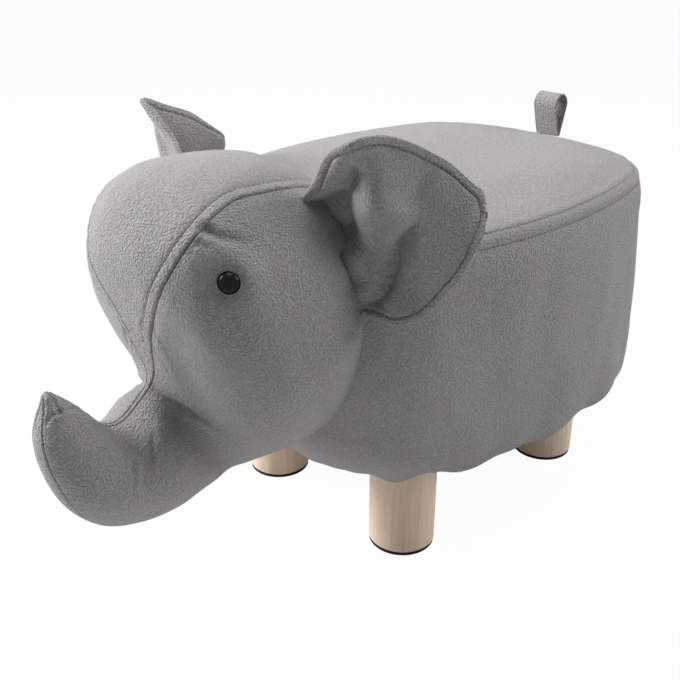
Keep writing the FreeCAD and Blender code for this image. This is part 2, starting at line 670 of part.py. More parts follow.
class Section:
    """One cross section of the head or trunk, with its four seams and the arcs between them."""

    def __init__(self, row):
        top, low, (width, crown_half, crown_drop, chin_half, chin_rise) = row
        self.middle = (top + low) / 2
        self.up = (top - low).normalize()
        half = (top - low).Length / 2
        self.half = half
        self.crown = (crown_half, half - crown_drop)
        self.side = (width, 0.0)
        self.chin = (chin_half, chin_rise - half)

    def place(self, point):
        return self.middle + Vector(point[0], 0, 0) + self.up * point[1]

    def arc_length(self, arc):
        radius = circle_through(*arc)[1]
        start, stop = along_arc(arc, 0.0), along_arc(arc, 1.0)
        half_chord = min(math.hypot(stop[0] - start[0], stop[1] - start[1]) / 2 / radius, 1.0)
        return 2 * radius * math.asin(half_chord)

    def arcs(self):
        across = [(-x, y) for x, y in (self.crown, self.side, self.chin)]
        return {
            "crown": (across[0], (0.0, self.half), self.crown),
            "left": (self.crown, self.side, self.chin),
            "chin": (self.chin, (0.0, -self.half), across[2]),
            "right": (across[2], across[1], across[0]),
        }

    def outline(self, inside=0.0):
        """The closed outline, moved inward."""
        left = self.arcs()["left"]
        seam = along_arc(left, 0.0, inside)
        side = along_arc(left, 0.5, inside)
        chin = along_arc(left, 1.0, inside)
        tops = (0.0, self.half - inside)
        lows = (0.0, inside - self.half)
        corners = (seam, side, chin, lows, (-chin[0], chin[1]), (-side[0], side[1]),
                   (-seam[0], seam[1]), tops)
        spots = [self.place(corner) for corner in corners]
        edges = [Part.Arc(spots[0], spots[1], spots[2]), Part.Arc(spots[2], spots[3], spots[4]),
                 Part.Arc(spots[4], spots[5], spots[6]), Part.Arc(spots[6], spots[7], spots[0])]
        return Part.Wire([edge.toShape() for edge in edges])

    def strip(self, name, thickness):
        """One panel's cut: an outer and an inner arc joined at the two seams."""
        arc = self.arcs()[name]
        trim = size("seam_gap") / max(self.arc_length(arc), 3 * size("seam_gap"))
        shares = (trim, 0.5, 1 - trim)
        outer = [self.place(along_arc(arc, share)) for share in shares]
        inner = [self.place(along_arc(arc, share, thickness)) for share in shares]
        edges = [Part.Arc(*outer).toShape(), Part.LineSegment(outer[2], inner[2]).toShape(),
                 Part.Arc(*inner[::-1]).toShape(), Part.LineSegment(inner[0], outer[0]).toShape()]
        return Part.Wire(edges)


head_sections = [Section(row) for row in HEAD]
trunk_sections = [Section(row) for row in TRUNK]
all_sections = head_sections + trunk_sections
seat_envelope = seat_solid(-GAP)


def head_solid(inside):
    return loft([section.outline(inside) for section in head_sections])


FILL_INSET = SKIN + GAP + size("joint_clearance")
head_whole = loft([section.outline(-GAP) for section in all_sections])

head_inner = head_solid(FILL_INSET)
neck_panel = biggest(head_inner.common(seat_solid(-GAP - SKIN)).cut(seat_envelope))
head_filling = biggest(head_inner.cut(seat_solid(-2 * GAP - SKIN)))

PANELS = (("forehead_panel", "crown", head_sections),
          ("head_left_panel", "left", all_sections),
          ("head_right_panel", "right", all_sections),
          ("chin_panel", "chin", all_sections))
panels = {}
for label, arc_name, sections in PANELS:
    band = loft([section.strip(arc_name, SKIN) for section in sections])
    panels[label] = biggest(band.cut(seat_envelope))

# The trunk's filling is split at its lowest bend, so that each piece is a plain swelling form.
BEND = 3
trunk_wires = [section.outline(FILL_INSET) for section in trunk_sections]
root_wire = head_sections[-1].outline(FILL_INSET)


def end_step(wire, section, step):
    """Moves an end outline along its own normal, so that two fillings stay apart."""
    normal = section.up.cross(Vector(1, 0, 0))
    moved = wire.copy()
    moved.translate(normal * step)
    return moved


trunk_filling = loft([end_step(root_wire, head_sections[-1], -GAP)] + trunk_wires[:BEND + 1])
tip_filling = loft([end_step(trunk_wires[BEND], trunk_sections[BEND], -GAP)]
                   + trunk_wires[BEND + 1:-1])


# Eyes, with the shank and washer behind each

# A short way round a side arc, which gives the surface's slope there.
STEP_SHARE = 0.01


class Spot:
    """A place on the head's side: between two sections, at a share of the side arc."""

    def __init__(self, first, second, between, share, side_name):
        start = first.place(along_arc(first.arcs()[side_name], share))
        stop = second.place(along_arc(second.arcs()[side_name], share))
        step_share = share + STEP_SHARE
        start_on = first.place(along_arc(first.arcs()[side_name], step_share))
        stop_on = second.place(along_arc(second.arcs()[side_name], step_share))
        self.point = start + (stop - start) * between
        around = (start_on + (stop_on - start_on) * between) - self.point
        self.normal = around.cross(stop - start).normalize()
        if self.normal.dot(self.point - first.middle) < 0:
            self.normal = self.normal * -1


EYE_BETWEEN_SHARE = 0.15
EYE_AROUND_SHARE = 0.145
EYE_FIRST = 4
WASHER_RADIUS = size("eye_washer_diameter") / 2
washers = []
for label, side_name, around_share in (("eye_left", "left", EYE_AROUND_SHARE),
                                       ("eye_right", "right", 1 - EYE_AROUND_SHARE)):
    spot = Spot(head_sections[EYE_FIRST], head_sections[EYE_FIRST + 1], EYE_BETWEEN_SHARE,
                around_share, side_name)
    turn = Rotation(Vector(0, 0, 1), spot.normal)
    eye = doc.addObject("PartDesign::Body", label)
    keep(label, eye)
    outline = sketch_on(eye, label + "_outline", role="XZ_Plane")
    eye_radius = size("eye_diameter") / 2
    rise = size("eye_rise")
    shank = size("eye_shank_diameter") / 2
    depth = size("eye_shank_length")
    # Dome arc whose centre is on the axis: radius from its half width and its rise.
    dome_radius = (eye_radius ** 2 + rise ** 2) / (2 * rise)
    rim_angle = math.atan2(dome_radius - rise, eye_radius)
    dome = Part.ArcOfCircle(Part.Circle(Vector(0, rise - dome_radius, 0), Vector(0, 0, 1),
                                        dome_radius), rim_angle, math.pi / 2)
    marks = [Vector(0, rise, 0), Vector(0, -depth, 0), Vector(shank, -depth, 0),
             Vector(shank, 0, 0), Vector(eye_radius, 0, 0)]
    outline.addGeometry(dome, False)
    for first in range(4):
        outline.addGeometry(Part.LineSegment(marks[first], marks[first + 1]), False)
    for pair in ((0, 2, 1, 1), (1, 2, 2, 1), (2, 2, 3, 1), (3, 2, 4, 1), (4, 2, 0, 1)):
        outline.addConstraint(Sketcher.Constraint("Coincident", *pair))
    outline.addConstraint(Sketcher.Constraint("PointOnObject", 0, 3, -2))
    outline.addConstraint(Sketcher.Constraint("PointOnObject", 1, 1, -2))
    outline.addConstraint(Sketcher.Constraint("PointOnObject", 1, 2, -2))
    outline.addConstraint(Sketcher.Constraint("Horizontal", 2))
    outline.addConstraint(Sketcher.Constraint("Vertical", 3))
    outline.addConstraint(Sketcher.Constraint("PointOnObject", 4, 1, -1))
    outline.addConstraint(Sketcher.Constraint("PointOnObject", 4, 2, -1))
    bind(outline, "radius", "DistanceX", (-1, 1, 4, 2, eye_radius), "Sizes.eye_diameter / 2")
    bind(outline, "rise", "DistanceY", (-1, 1, 1, 1, rise), "Sizes.eye_rise")
    bind(outline, "shank", "DistanceX", (-1, 1, 4, 1, shank), "Sizes.eye_shank_diameter / 2")
    bind(outline, "depth", "DistanceY", (1, 2, -1, 1, depth), "Sizes.eye_shank_length")
    knob = eye.newObject("PartDesign::Revolution", label + "_dome")
    knob.Profile = outline
    knob.ReferenceAxis = (outline, ["V_Axis"])
    eye.Placement = Placement(SEAT_PLACE.Base + spot.point + spot.normal * GAP, turn)
    doc.recompute()
    hole = Part.makeCylinder(shank + GAP, depth + 2 * OVERRUN,
                             spot.point + spot.normal * OVERRUN, spot.normal * -1)
    panel_name = "head_%s_panel" % side_name
    panels[panel_name] = panels[panel_name].cut(hole)
    washer_top = spot.point - spot.normal * size("eye_washer_depth")
    washer = Part.makeCylinder(WASHER_RADIUS, size("eye_washer_thickness"), washer_top,
                               spot.normal * -1)
    washers.append(washer.cut(Part.makeCylinder(shank + size("joint_clearance"),
                                                size("eye_washer_thickness"), washer_top,
                                                spot.normal * -1)))
    socket_depth = max(depth - GAP, size("eye_washer_depth") + size("eye_washer_thickness"))
    head_filling = head_filling.cut(Part.makeCylinder(
        WASHER_RADIUS + GAP, socket_depth + GAP + OVERRUN, spot.point + spot.normal * OVERRUN,
        spot.normal * -1))

keep_shape("eye_washers", Part.makeCompound(washers))
keep_shape("head_filling", biggest(head_filling))
keep_shape("trunk_filling", trunk_filling)
keep_shape("trunk_tip_filling", tip_filling)
keep_shape("neck_panel", neck_panel)
for label, arc_name, sections in PANELS:
    keep_shape(label, biggest(panels[label]))


# Ears: two skins and a wadding between them, cupped forward and trimmed to the head

EAR_SWEEP = 45.0
EAR_LIFT = 21.0
EAR_FOLD = 30.0
# The ear's own frame: x out from its root, y towards its back, z up along it. Stations hold the
# way out as a share of ear length, then the top and low ends as shares of ear height, their
# lean towards the face and the cup's depth as shares of ear length.
ear_left_shares = (
    (-0.20, 0.36, -0.39, -0.02, 0.05, 0.04),
    (0.02, 0.42, -0.41, 0.04, 0.09, 0.06),
    (0.17, 0.50, -0.43, 0.17, 0.19, 0.10),
    (0.33, 0.55, -0.44, 0.31, 0.21, 0.12),
    (0.55, 0.47, -0.40, 0.19, 0.17, 0.11),
    (0.76, 0.31, -0.31, 0.05, 0.12, 0.09),
    (0.91, 0.11, -0.21, -0.06, 0.07, 0.05),
    (0.98, -0.01, -0.11, -0.11, -0.04, 0.01),
)
# The right ear droops a little more and is flatter, as in the photo.
ear_right_shares = (
    (-0.20, 0.36, -0.39, 0.02, 0.08, 0.02),
    (0.02, 0.41, -0.41, 0.12, 0.16, 0.03),
    (0.17, 0.43, -0.43, 0.25, 0.28, 0.04),
    (0.33, 0.42, -0.43, 0.34, 0.32, 0.04),
    (0.55, 0.31, -0.39, 0.19, 0.22, 0.06),
    (0.76, 0.18, -0.31, 0.05, 0.12, 0.07),
    (0.91, 0.05, -0.21, -0.06, 0.07, 0.05),
    (0.98, -0.03, -0.11, -0.11, -0.04, 0.01),
)
# The middle of the ear's root, between the crown seam and the cheek.
EAR_BETWEEN_SHARE = 0.25
EAR_AROUND_SHARE = 0.19
EAR_FIRST = 1


def ear_layer(ear_shares, start, stop, hem):
    """One layer of an ear, between two distances behind its face, inset by a hem."""
    long = size("ear_length")
    high = size("ear_height")
    rows = ear_shares[:-1] if hem else ear_shares
    wires = []
    for out, top, low, top_lean, low_lean, cup in rows:
        ends = ((-top_lean * long, top * high), (-low_lean * long, low * high))
        deep = ((ends[0][0] + ends[1][0]) / 2 + cup * long, (ends[0][1] + ends[1][1]) / 2)
        trim = hem / math.hypot(ends[0][0] - ends[1][0], ends[0][1] - ends[1][1])
        spots = [along_arc((ends[0], deep, ends[1]), share) for share in (trim, 0.5, 1 - trim)]
        near = [Vector(out * long, spot[0] + start, spot[1]) for spot in spots]
        far = [Vector(out * long, spot[0] + stop, spot[1]) for spot in spots]
        edges = [Part.Arc(*near).toShape(), Part.LineSegment(near[2], far[2]).toShape(),
                 Part.Arc(*far[::-1]).toShape(), Part.LineSegment(far[0], near[0]).toShape()]
        wires.append(Part.Wire(edges))
    return loft(wires)


ear_root = Spot(head_sections[EAR_FIRST], head_sections[EAR_FIRST + 1], EAR_BETWEEN_SHARE,
                EAR_AROUND_SHARE, "left")
ear_turn = Rotation(Vector(0, 0, 1), EAR_SWEEP) * Rotation(Vector(0, 1, 0), -EAR_LIFT)
ear_place = Placement(ear_root.point, ear_turn)
EAR_SKIN = size("ear_skin_thickness")
WAD_START = EAR_SKIN + size("ear_layer_gap")
WAD_END = WAD_START + size("ear_wadding_thickness")
FACE_START = WAD_END + size("ear_layer_gap")
LAYERS = (("front", 0.0, EAR_SKIN, 0.0),
          ("wadding", WAD_START, WAD_END, size("ear_hem")),
          ("back", FACE_START, FACE_START + EAR_SKIN, 0.0))
# The ear folds forward about its root, so its root is trimmed to the head at every part of
# that fold. Forward is a turn about the ear's downward axis.
fold_point = ear_place.multVec(Vector(0, -size("ear_fold_offset"), 0))
fold_axis = ear_turn.multVec(Vector(0, 0, -1))
FOLD_STEPS = 3
fold_limits = []
for step in range(FOLD_STEPS + 1):
    angle = EAR_FOLD * step / FOLD_STEPS
    for solid in (head_whole, seat_envelope):
        limit = solid.copy()
        limit.rotate(fold_point, fold_axis, -angle)
        fold_limits.append(limit)
for layer, start, stop, hem in LAYERS:
    for side_name, ear_shares in (("left", ear_left_shares), ("right", ear_right_shares)):
        ear = ear_layer(ear_shares, start, stop, hem)
        ear.Placement = ear_place
        for limit in fold_limits:
            ear = biggest(ear.cut(limit))
        if side_name == "right":
            ear = ear.mirror(Vector(0, 0, 0), Vector(1, 0, 0))
        keep_shape("ear_%s_%s" % (side_name, layer), ear)


# Tail loop: a strap folded back on itself and sewn into the rear seam

TAIL_SEAT_RULE = "Sizes.seat_length / 2 - Sizes.tail_seat_inset"
tail = body_named("tail_loop", "0", TAIL_SEAT_RULE,
                  "Sizes.seam_height + Sizes.tail_thickness + Sizes.tail_root_gap")
loop = sketch_on(tail, "loop_outline", role="YZ_Plane")
TAIL_R = size("tail_radius")
TAIL_T = size("tail_thickness")
TOP = size("tail_height") - TAIL_R


def tangent_angle(radius, foot):
    """Angle of the point where a line from the foot touches the arc at the top."""
    away = Vector(foot[0], foot[1] - TOP, 0)
    return math.atan2(away.y, away.x) + math.acos(radius / away.Length)


def loop_curves(radius, foot_half, foot_height):
    angle = tangent_angle(radius, (foot_half, foot_height))
    touch = Vector(radius * math.cos(angle), TOP + radius * math.sin(angle), 0)
    other = Vector(-touch.x, touch.y, 0)
    bow = Part.ArcOfCircle(Part.Circle(Vector(0, TOP, 0), Vector(0, 0, 1), radius),
                           angle, math.pi - angle)
    right = Part.LineSegment(Vector(foot_half, foot_height, 0), touch)
    left = Part.LineSegment(other, Vector(-foot_half, foot_height, 0))
    return right, bow, left


loop.addGeometry(list(loop_curves(TAIL_R, TAIL_T, 0.0)), False)
loop.addGeometry(Part.LineSegment(Vector(-TAIL_T, 0, 0), Vector(TAIL_T, 0, 0)), False)
outer_slope = tangent_angle(TAIL_R, (TAIL_T, 0.0))
# The inner lines run parallel to the outer ones, so they meet where the two plies part.
part_height = TOP - (TAIL_R - TAIL_T) / math.sin(-outer_slope)
inner_touch = Vector((TAIL_R - TAIL_T) * math.cos(outer_slope),
                     TOP + (TAIL_R - TAIL_T) * math.sin(outer_slope), 0)
inner_other = Vector(-inner_touch.x, inner_touch.y, 0)
loop.addGeometry(Part.LineSegment(Vector(0, part_height, 0), inner_touch), False)
loop.addGeometry(Part.ArcOfCircle(Part.Circle(Vector(0, TOP, 0), Vector(0, 0, 1),
                                              TAIL_R - TAIL_T), outer_slope,
                                  math.pi - outer_slope), False)
loop.addGeometry(Part.LineSegment(inner_other, Vector(0, part_height, 0)), False)
for pair in ((0, 2, 1, 1), (1, 2, 2, 1), (4, 2, 5, 1), (5, 2, 6, 1)):
    loop.addConstraint(Sketcher.Constraint("Tangent", *pair))
for pair in ((2, 2, 3, 1), (3, 2, 0, 1), (6, 2, 4, 1), (1, 3, 5, 3)):
    loop.addConstraint(Sketcher.Constraint("Coincident", *pair))
loop.addConstraint(Sketcher.Constraint("Symmetric", 3, 1, 3, 2, -1, 1))
loop.addConstraint(Sketcher.Constraint("PointOnObject", 1, 3, -2))
loop.addConstraint(Sketcher.Constraint("Horizontal", 3))
loop.addConstraint(Sketcher.Constraint("Parallel", 0, 4))
loop.addConstraint(Sketcher.Constraint("PointOnObject", 4, 1, -2))
bind(loop, "foot", "DistanceX", (3, 1, 3, 2, 2 * TAIL_T), "2 * Sizes.tail_thickness")
bind(loop, "bow", "Radius", (1, TAIL_R), "Sizes.tail_radius")
bind(loop, "hollow", "Radius", (5, TAIL_R - TAIL_T), "Sizes.tail_radius - Sizes.tail_thickness")
bind(loop, "height", "DistanceY", (-1, 1, 1, 3, TOP), "Sizes.tail_height - Sizes.tail_radius")
pad(tail, "tail_pad", loop, "Sizes.tail_width", midplane=True)


# Checks, then the files

doc.recompute()
for thing in doc.Objects:
    if "Invalid" in thing.State or "Error" in thing.State:
        raise RuntimeError("%s did not build: %s" % (thing.Label, thing.State))
for label, thing in parts.items():
    if thing.Shape.isNull() or not thing.Shape.isValid():
        raise RuntimeError(label + " has no valid shape")
for label, thing in parts.items():
    thing.Shape.exportStep("parts/%s.step" % label)
print(len(parts), "sub-parts written")
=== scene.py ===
import math

import bmesh
import bpy
import numpy as np
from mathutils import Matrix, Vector


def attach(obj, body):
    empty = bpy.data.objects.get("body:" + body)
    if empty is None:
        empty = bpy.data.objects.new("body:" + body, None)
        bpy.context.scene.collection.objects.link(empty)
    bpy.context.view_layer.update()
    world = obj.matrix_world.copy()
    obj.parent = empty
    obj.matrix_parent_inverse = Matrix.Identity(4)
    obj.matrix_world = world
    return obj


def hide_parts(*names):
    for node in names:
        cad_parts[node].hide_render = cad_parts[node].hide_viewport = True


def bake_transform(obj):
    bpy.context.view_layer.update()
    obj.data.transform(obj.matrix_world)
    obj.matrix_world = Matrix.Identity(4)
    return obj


# The stool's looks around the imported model, in its own frame: the elephant faces -Y, its left is +X.
# Surfaces are worked out in millimetres from the same sections as the solids, read along smooth
# curves, and then sewn, puffed and creased by moving their points along the normals.

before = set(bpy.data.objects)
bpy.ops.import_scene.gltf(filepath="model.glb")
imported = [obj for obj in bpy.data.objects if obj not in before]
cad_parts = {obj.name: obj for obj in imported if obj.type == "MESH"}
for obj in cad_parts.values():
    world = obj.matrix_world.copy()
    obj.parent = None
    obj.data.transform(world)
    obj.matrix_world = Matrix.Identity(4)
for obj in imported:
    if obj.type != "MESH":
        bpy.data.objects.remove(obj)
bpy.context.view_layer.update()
scene = bpy.context.scene

MM = 0.001
SEAT_Y = 84.2
FULL_TURN = 2 * math.pi


def aim(thing, place, target):
    """Links a camera or lamp, puts it at a place and turns it to a target."""
    scene.collection.objects.link(thing)
    thing.location = place
    thing.rotation_euler = (Vector(target) - Vector(place)).to_track_quat("-Z", "Y").to_euler()


# Camera at the photo's place

CAMERA_PLACE = (0.4853, -0.4823, 0.4805)
CAMERA_TARGET = (-0.0317, 0.0187, 0.1309)

camera_data = bpy.data.cameras.new("camera")
camera_data.lens = 48.65
camera_data.sensor_width = 36.0
camera = bpy.data.objects.new("camera", camera_data)
aim(camera, CAMERA_PLACE, CAMERA_TARGET)
scene.camera = camera


# Reading numbers along smooth curves

def smooth(knots, rows, at):
    """Rows of numbers read between their knots along a smooth curve."""
    flat = rows.reshape(len(knots), -1)
    step = np.diff(knots)[:, None]
    slope = np.diff(flat, axis=0) / step
    inner = (slope[:-1] * step[1:] + slope[1:] * step[:-1]) / (step[1:] + step[:-1])
    tangent = np.concatenate((slope[:1], inner, slope[-1:]))
    at = np.clip(at, knots[0], knots[-1])
    place = np.clip(np.searchsorted(knots, at, side="right") - 1, 0, len(step) - 1)
    wide = step[place]
    share = ((at - knots[place])[:, None]) / wide
    square, cube = share ** 2, share ** 3
    out = (flat[place] * (2 * cube - 3 * square + 1) + tangent[place] * wide * (cube - 2 * square + share)
           + flat[place + 1] * (3 * square - 2 * cube) + tangent[place + 1] * wide * (cube - square))
    return out.reshape((len(at),) + rows.shape[1:])


def bump(distance, middle, width):
    """A soft hill of height one."""
    return np.exp(-((distance - middle) / width) ** 2)


def fade(value, start, stop):
    """Nought before start, one after stop, soft between."""
    share = np.clip((value - start) / (stop - start), 0.0, 1.0)
    return share * share * (3 - 2 * share)


def unit(vectors):
    """Vectors of the same ways and length one."""
    return vectors / np.maximum(np.linalg.norm(vectors, axis=-1, keepdims=True), 1e-12)


def swell(points, span, seed, stretch=(1.0, 1.0, 1.0), waves=9):
    """Soft seeded hills and hollows about a span apart, between about -1 and 1."""
    dice = np.random.default_rng(seed)
    total = np.zeros(points.shape[:-1])
    for _ in range(waves):
        way = unit(dice.normal(size=3))
        length = span * dice.uniform(0.7, 1.5)
        total += np.sin(FULL_TURN * (points / stretch @ way) / length + dice.uniform(0, FULL_TURN))
    return total / math.sqrt(waves)


def ripple(along, across, span, seed, waves=9):
    """Soft seeded waves over a strip, told by the distances along and across it."""
    return swell(np.stack((along, across, along * 0), axis=-1), span, seed, waves=waves)


def pair(x, y):
    return np.stack((x, y), axis=-1)


def eased(line, times):
    """Smooths a line of points in place and leaves its ends."""
    for _ in range(times):
        line[1:-1] = (line[:-2] + 2 * line[1:-1] + line[2:]) / 4
    return line


def normals_of(grid, wrap):
    """Unit normals of a grid of points, across rows and columns."""
    down = np.gradient(grid, axis=0)
    if wrap:
        around = (np.roll(grid, -1, axis=1) - np.roll(grid, 1, axis=1)) / 2
    else:
        around = np.gradient(grid, axis=1)
    return unit(np.cross(around, down))


# Distances from a seam, in millimetres, where points lie closer together for its groove,
# its raised band and its line of stitches.
NEAR_SEAM = np.array((0.0, 0.35, 0.7, 1.1, 1.6, 2.3, 3.2, 4.3, 5.4, 6.3, 7.0, 7.5, 8.0, 8.5, 9.0, 9.8,
                      11.0, 12.8, 15.2))
BAND = 8.0


def seam_shares(length, middle_count):
    """Shares along arcs of given lengths, crowded near both ends, the far end left out."""
    length = np.atleast_1d(length)[:, None]
    scale = np.minimum(1.0, 0.28 * length / NEAR_SEAM[-1])
    near = NEAR_SEAM[None] * scale
    low, high = near[:, -1:], length - near[:, -1:]
    middle = low + (high - low) * np.linspace(0.0, 1.0, middle_count + 2)[None, 1:-1]
    return np.concatenate((near, middle, (length - near)[:, :0:-1]), axis=1) / length


def path_length(points):
    """Distance along a line of points, or along each column of a grid, from its start."""
    steps = np.linalg.norm(np.diff(points, axis=0), axis=-1)
    return np.concatenate((np.zeros((1,) + steps.shape[1:]), np.cumsum(steps, axis=0)))


def read_at(at, run, rows):
    """Rows of numbers read at places along their run."""
    return np.stack([np.interp(at, run, rows[:, axis]) for axis in range(3)], axis=1)


def along_line(points, corners):
    """Distance from each point to a line through given corners, and the share of the way along."""
    corners = np.asarray(corners, float)
    spans = np.linalg.norm(np.diff(corners, axis=0), axis=1)
    starts = path_length(corners)
    best = np.full(points.shape[:-1], 1e9)
    share = np.zeros(points.shape[:-1])
    for place in range(len(spans)):
        way = corners[place + 1] - corners[place]
        part = np.clip(((points - corners[place]) @ way) / (way @ way), 0.0, 1.0)
        gap = np.linalg.norm(points - (corners[place] + part[..., None] * way), axis=-1)
        nearer = gap < best
        best = np.where(nearer, gap, best)
        share = np.where(nearer, (starts[place] + part * spans[place]) / starts[-1], share)
    return best, share


def fold(points, corners, depth, width, ends=(0.2, 0.2), lip=0.25):
    """A valley along a line, weaker at its ends, with a soft lip on either side."""
    gap, share = along_line(points, corners)
    strength = (ends[0] + (1 - ends[0]) * fade(share, 0.0, 0.35))
    strength = strength * (ends[1] + (1 - ends[1]) * (1 - fade(share, 0.6, 1.0)))
    return strength * depth * (lip * bump(gap, 2.2 * width, width) - bump(gap, 0.0, width))


def link_mesh(name, points, faces, material):
    """A smooth shaded object of points in metres and faces."""
    mesh = bpy.data.meshes.new(name)
    mesh.from_pydata([tuple(point) for point in points], [], faces)
    mesh.validate()
    mesh.update()
    mesh.shade_smooth()
    mesh.materials.append(material)
    thing = bpy.data.objects.new(name, mesh)
    scene.collection.objects.link(thing)
    return thing


def tidy_mesh(thing):
    """Joins points that lie on each other and drops those that no face uses."""
    work = bmesh.new()
    work.from_mesh(thing.data)
    bmesh.ops.remove_doubles(work, verts=work.verts, dist=0.00002)
    loose = [corner for corner in work.verts if not corner.link_faces]
    bmesh.ops.delete(work, geom=loose, context="VERTS")
    work.to_mesh(thing.data)
    work.free()
    thing.data.shade_smooth()
    return thing


def grid_faces(rows, columns, wrap=False, keep=None, start=0, flip=False):
    """Quads of a grid, left out where none of their points is kept."""
    faces = []
    for row in range(rows - 1):
        for column in range(columns if wrap else columns - 1):
            after = (column + 1) % columns
            ring = (row * columns + column, row * columns + after,
                    (row + 1) * columns + after, (row + 1) * columns + column)
            if keep is None or any(keep[corner] for corner in ring):
                faces.append(tuple(start + corner for corner in (ring[::-1] if flip else ring)))
    return faces


def grid_piece(name, grid, material, wrap=False, keep=None, flip=False):
    """One mesh of a grid of points in millimetres, without what isn't kept."""
    faces = grid_faces(*grid.shape[:2], wrap, None if keep is None else keep.reshape(-1), 0, flip)
    return tidy_mesh(link_mesh(name, grid.reshape(-1, 3) * MM, faces, material))


# Stitches: short threads laid end to end along a seam, whose ends dive into the cloth

STITCH_PITCH = 3.6
STITCH_LENGTH = 2.6
THREAD_RADIUS = 0.36
STITCH_RINGS = 5
STITCH_SIDES = 6


def stitch_piece(name, paths):
    """One mesh of stitches along paths, each given as points, outward ways and where it is kept."""
    points, faces = [], []
    along = np.linspace(0.0, 1.0, STITCH_RINGS)
    rise = THREAD_RADIUS * (1.9 * np.sin(math.pi * along) - 0.9)
    radius = THREAD_RADIUS * (0.45 + 0.55 * np.sin(math.pi * along))
    turn = np.linspace(0.0, FULL_TURN, STITCH_SIDES, endpoint=False)[None, :, None]
    for line, outward, kept in paths:
        reach = path_length(line)
        starts = np.arange(0.5 * STITCH_PITCH, reach[-1] - STITCH_PITCH, STITCH_PITCH)
        for start in starts[np.interp(starts, reach, kept.astype(float)) > 0.99]:
            at = start + along * STITCH_LENGTH
            spot, up = read_at(at, reach, line), unit(read_at(at, reach, outward))
            aside = unit(np.cross(np.gradient(spot, axis=0), up))
            spot = spot + up * rise[:, None]
            rings = spot[:, None] + radius[:, None, None] * (np.cos(turn) * up[:, None]
                                                             + np.sin(turn) * aside[:, None])
            first = len(points)
            points.extend(rings.reshape(-1, 3) * MM)
            faces.extend(grid_faces(STITCH_RINGS, STITCH_SIDES, wrap=True, start=first))
            last = len(points) - 1
            faces.append(tuple(range(first, first + STITCH_SIDES)))
            faces.append(tuple(range(last, last - STITCH_SIDES, -1)))
    return link_mesh(name, points, faces, THREAD)


# Materials

def nodes_of(name):
    """A new material and the coordinates of the object itself."""
    material = bpy.data.materials.new(name)
    material.use_nodes = True
    return material, material.node_tree.nodes.new("ShaderNodeTexCoord").outputs["Object"]


def join(value, socket):
    """Links an output to a socket, or gives the socket a value."""
    if isinstance(value, bpy.types.NodeSocket):
        value.id_data.links.new(value, socket)
    else:
        socket.default_value = value


def feed(node, **inputs):
    """Joins values to a node's inputs. An underscore stands for the space in a name."""
    for name, value in inputs.items():
        join(value, node.inputs[name.replace("_", " ")])


def node_of(kind, **inputs):
    """A new node, in the tree of the output that comes first."""
    node = next(iter(inputs.values())).id_data.nodes.new("ShaderNode" + kind)
    feed(node, **inputs)
    return node


def dress(material, colour, rough, normal, shine=0.5, **others):
    """Finishes a material: colour, roughness, relief, shine and any other inputs."""
    feed(material.node_tree.nodes["Principled BSDF"], Base_Color=colour, Roughness=rough,
         Normal=normal, Specular_IOR_Level=shine, **others)
    return material


def stretched(vector, scale):
    return node_of("Mapping", Vector=vector, Scale=scale).outputs["Vector"]


def noise_of(vector, scale, detail=3.0, rough=0.55, distortion=0.0):
    return node_of("TexNoise", Vector=vector, Scale=scale, Detail=detail, Roughness=rough,
                   Distortion=distortion).outputs["Fac"]


def ramp_of(value, *stops):
    """Colours along a value. A plain number is a grey."""
    node = node_of("ValToRGB", Fac=value)
    elements = node.color_ramp.elements
    while len(elements) < len(stops):
        elements.new(0.5)
    for element, (place, colour) in zip(elements, stops):
        element.position = place
        element.color = (*(colour if isinstance(colour, tuple) else (colour,) * 3), 1.0)
    return node.outputs["Color"]


def mix_of(share, first, second, kind="MIX"):
    """Mixes a colour output with another, or with a plain colour."""
    node = first.id_data.nodes.new("ShaderNodeMix")
    node.data_type = "RGBA"
    node.blend_type = kind
    colours = [item for item in node.inputs if item.type == "RGBA"]
    join(share, node.inputs[0])
    join(first, colours[0])
    join((*second, 1.0) if isinstance(second, tuple) else second, colours[1])
    return [item for item in node.outputs if item.type == "RGBA"][0]


def maths(kind, first, second):
    node = (second if isinstance(first, float) else first).id_data.nodes.new("ShaderNodeMath")
    node.operation = kind
    join(first, node.inputs[0])
    join(second, node.inputs[1])
    return node.outputs["Value"]


def bump_of(height, distance, strength, **below):
    return node_of("Bump", Height=height, Distance=distance, Strength=strength,
                   **below).outputs["Normal"]


NAP_SHIFT = 0.0012


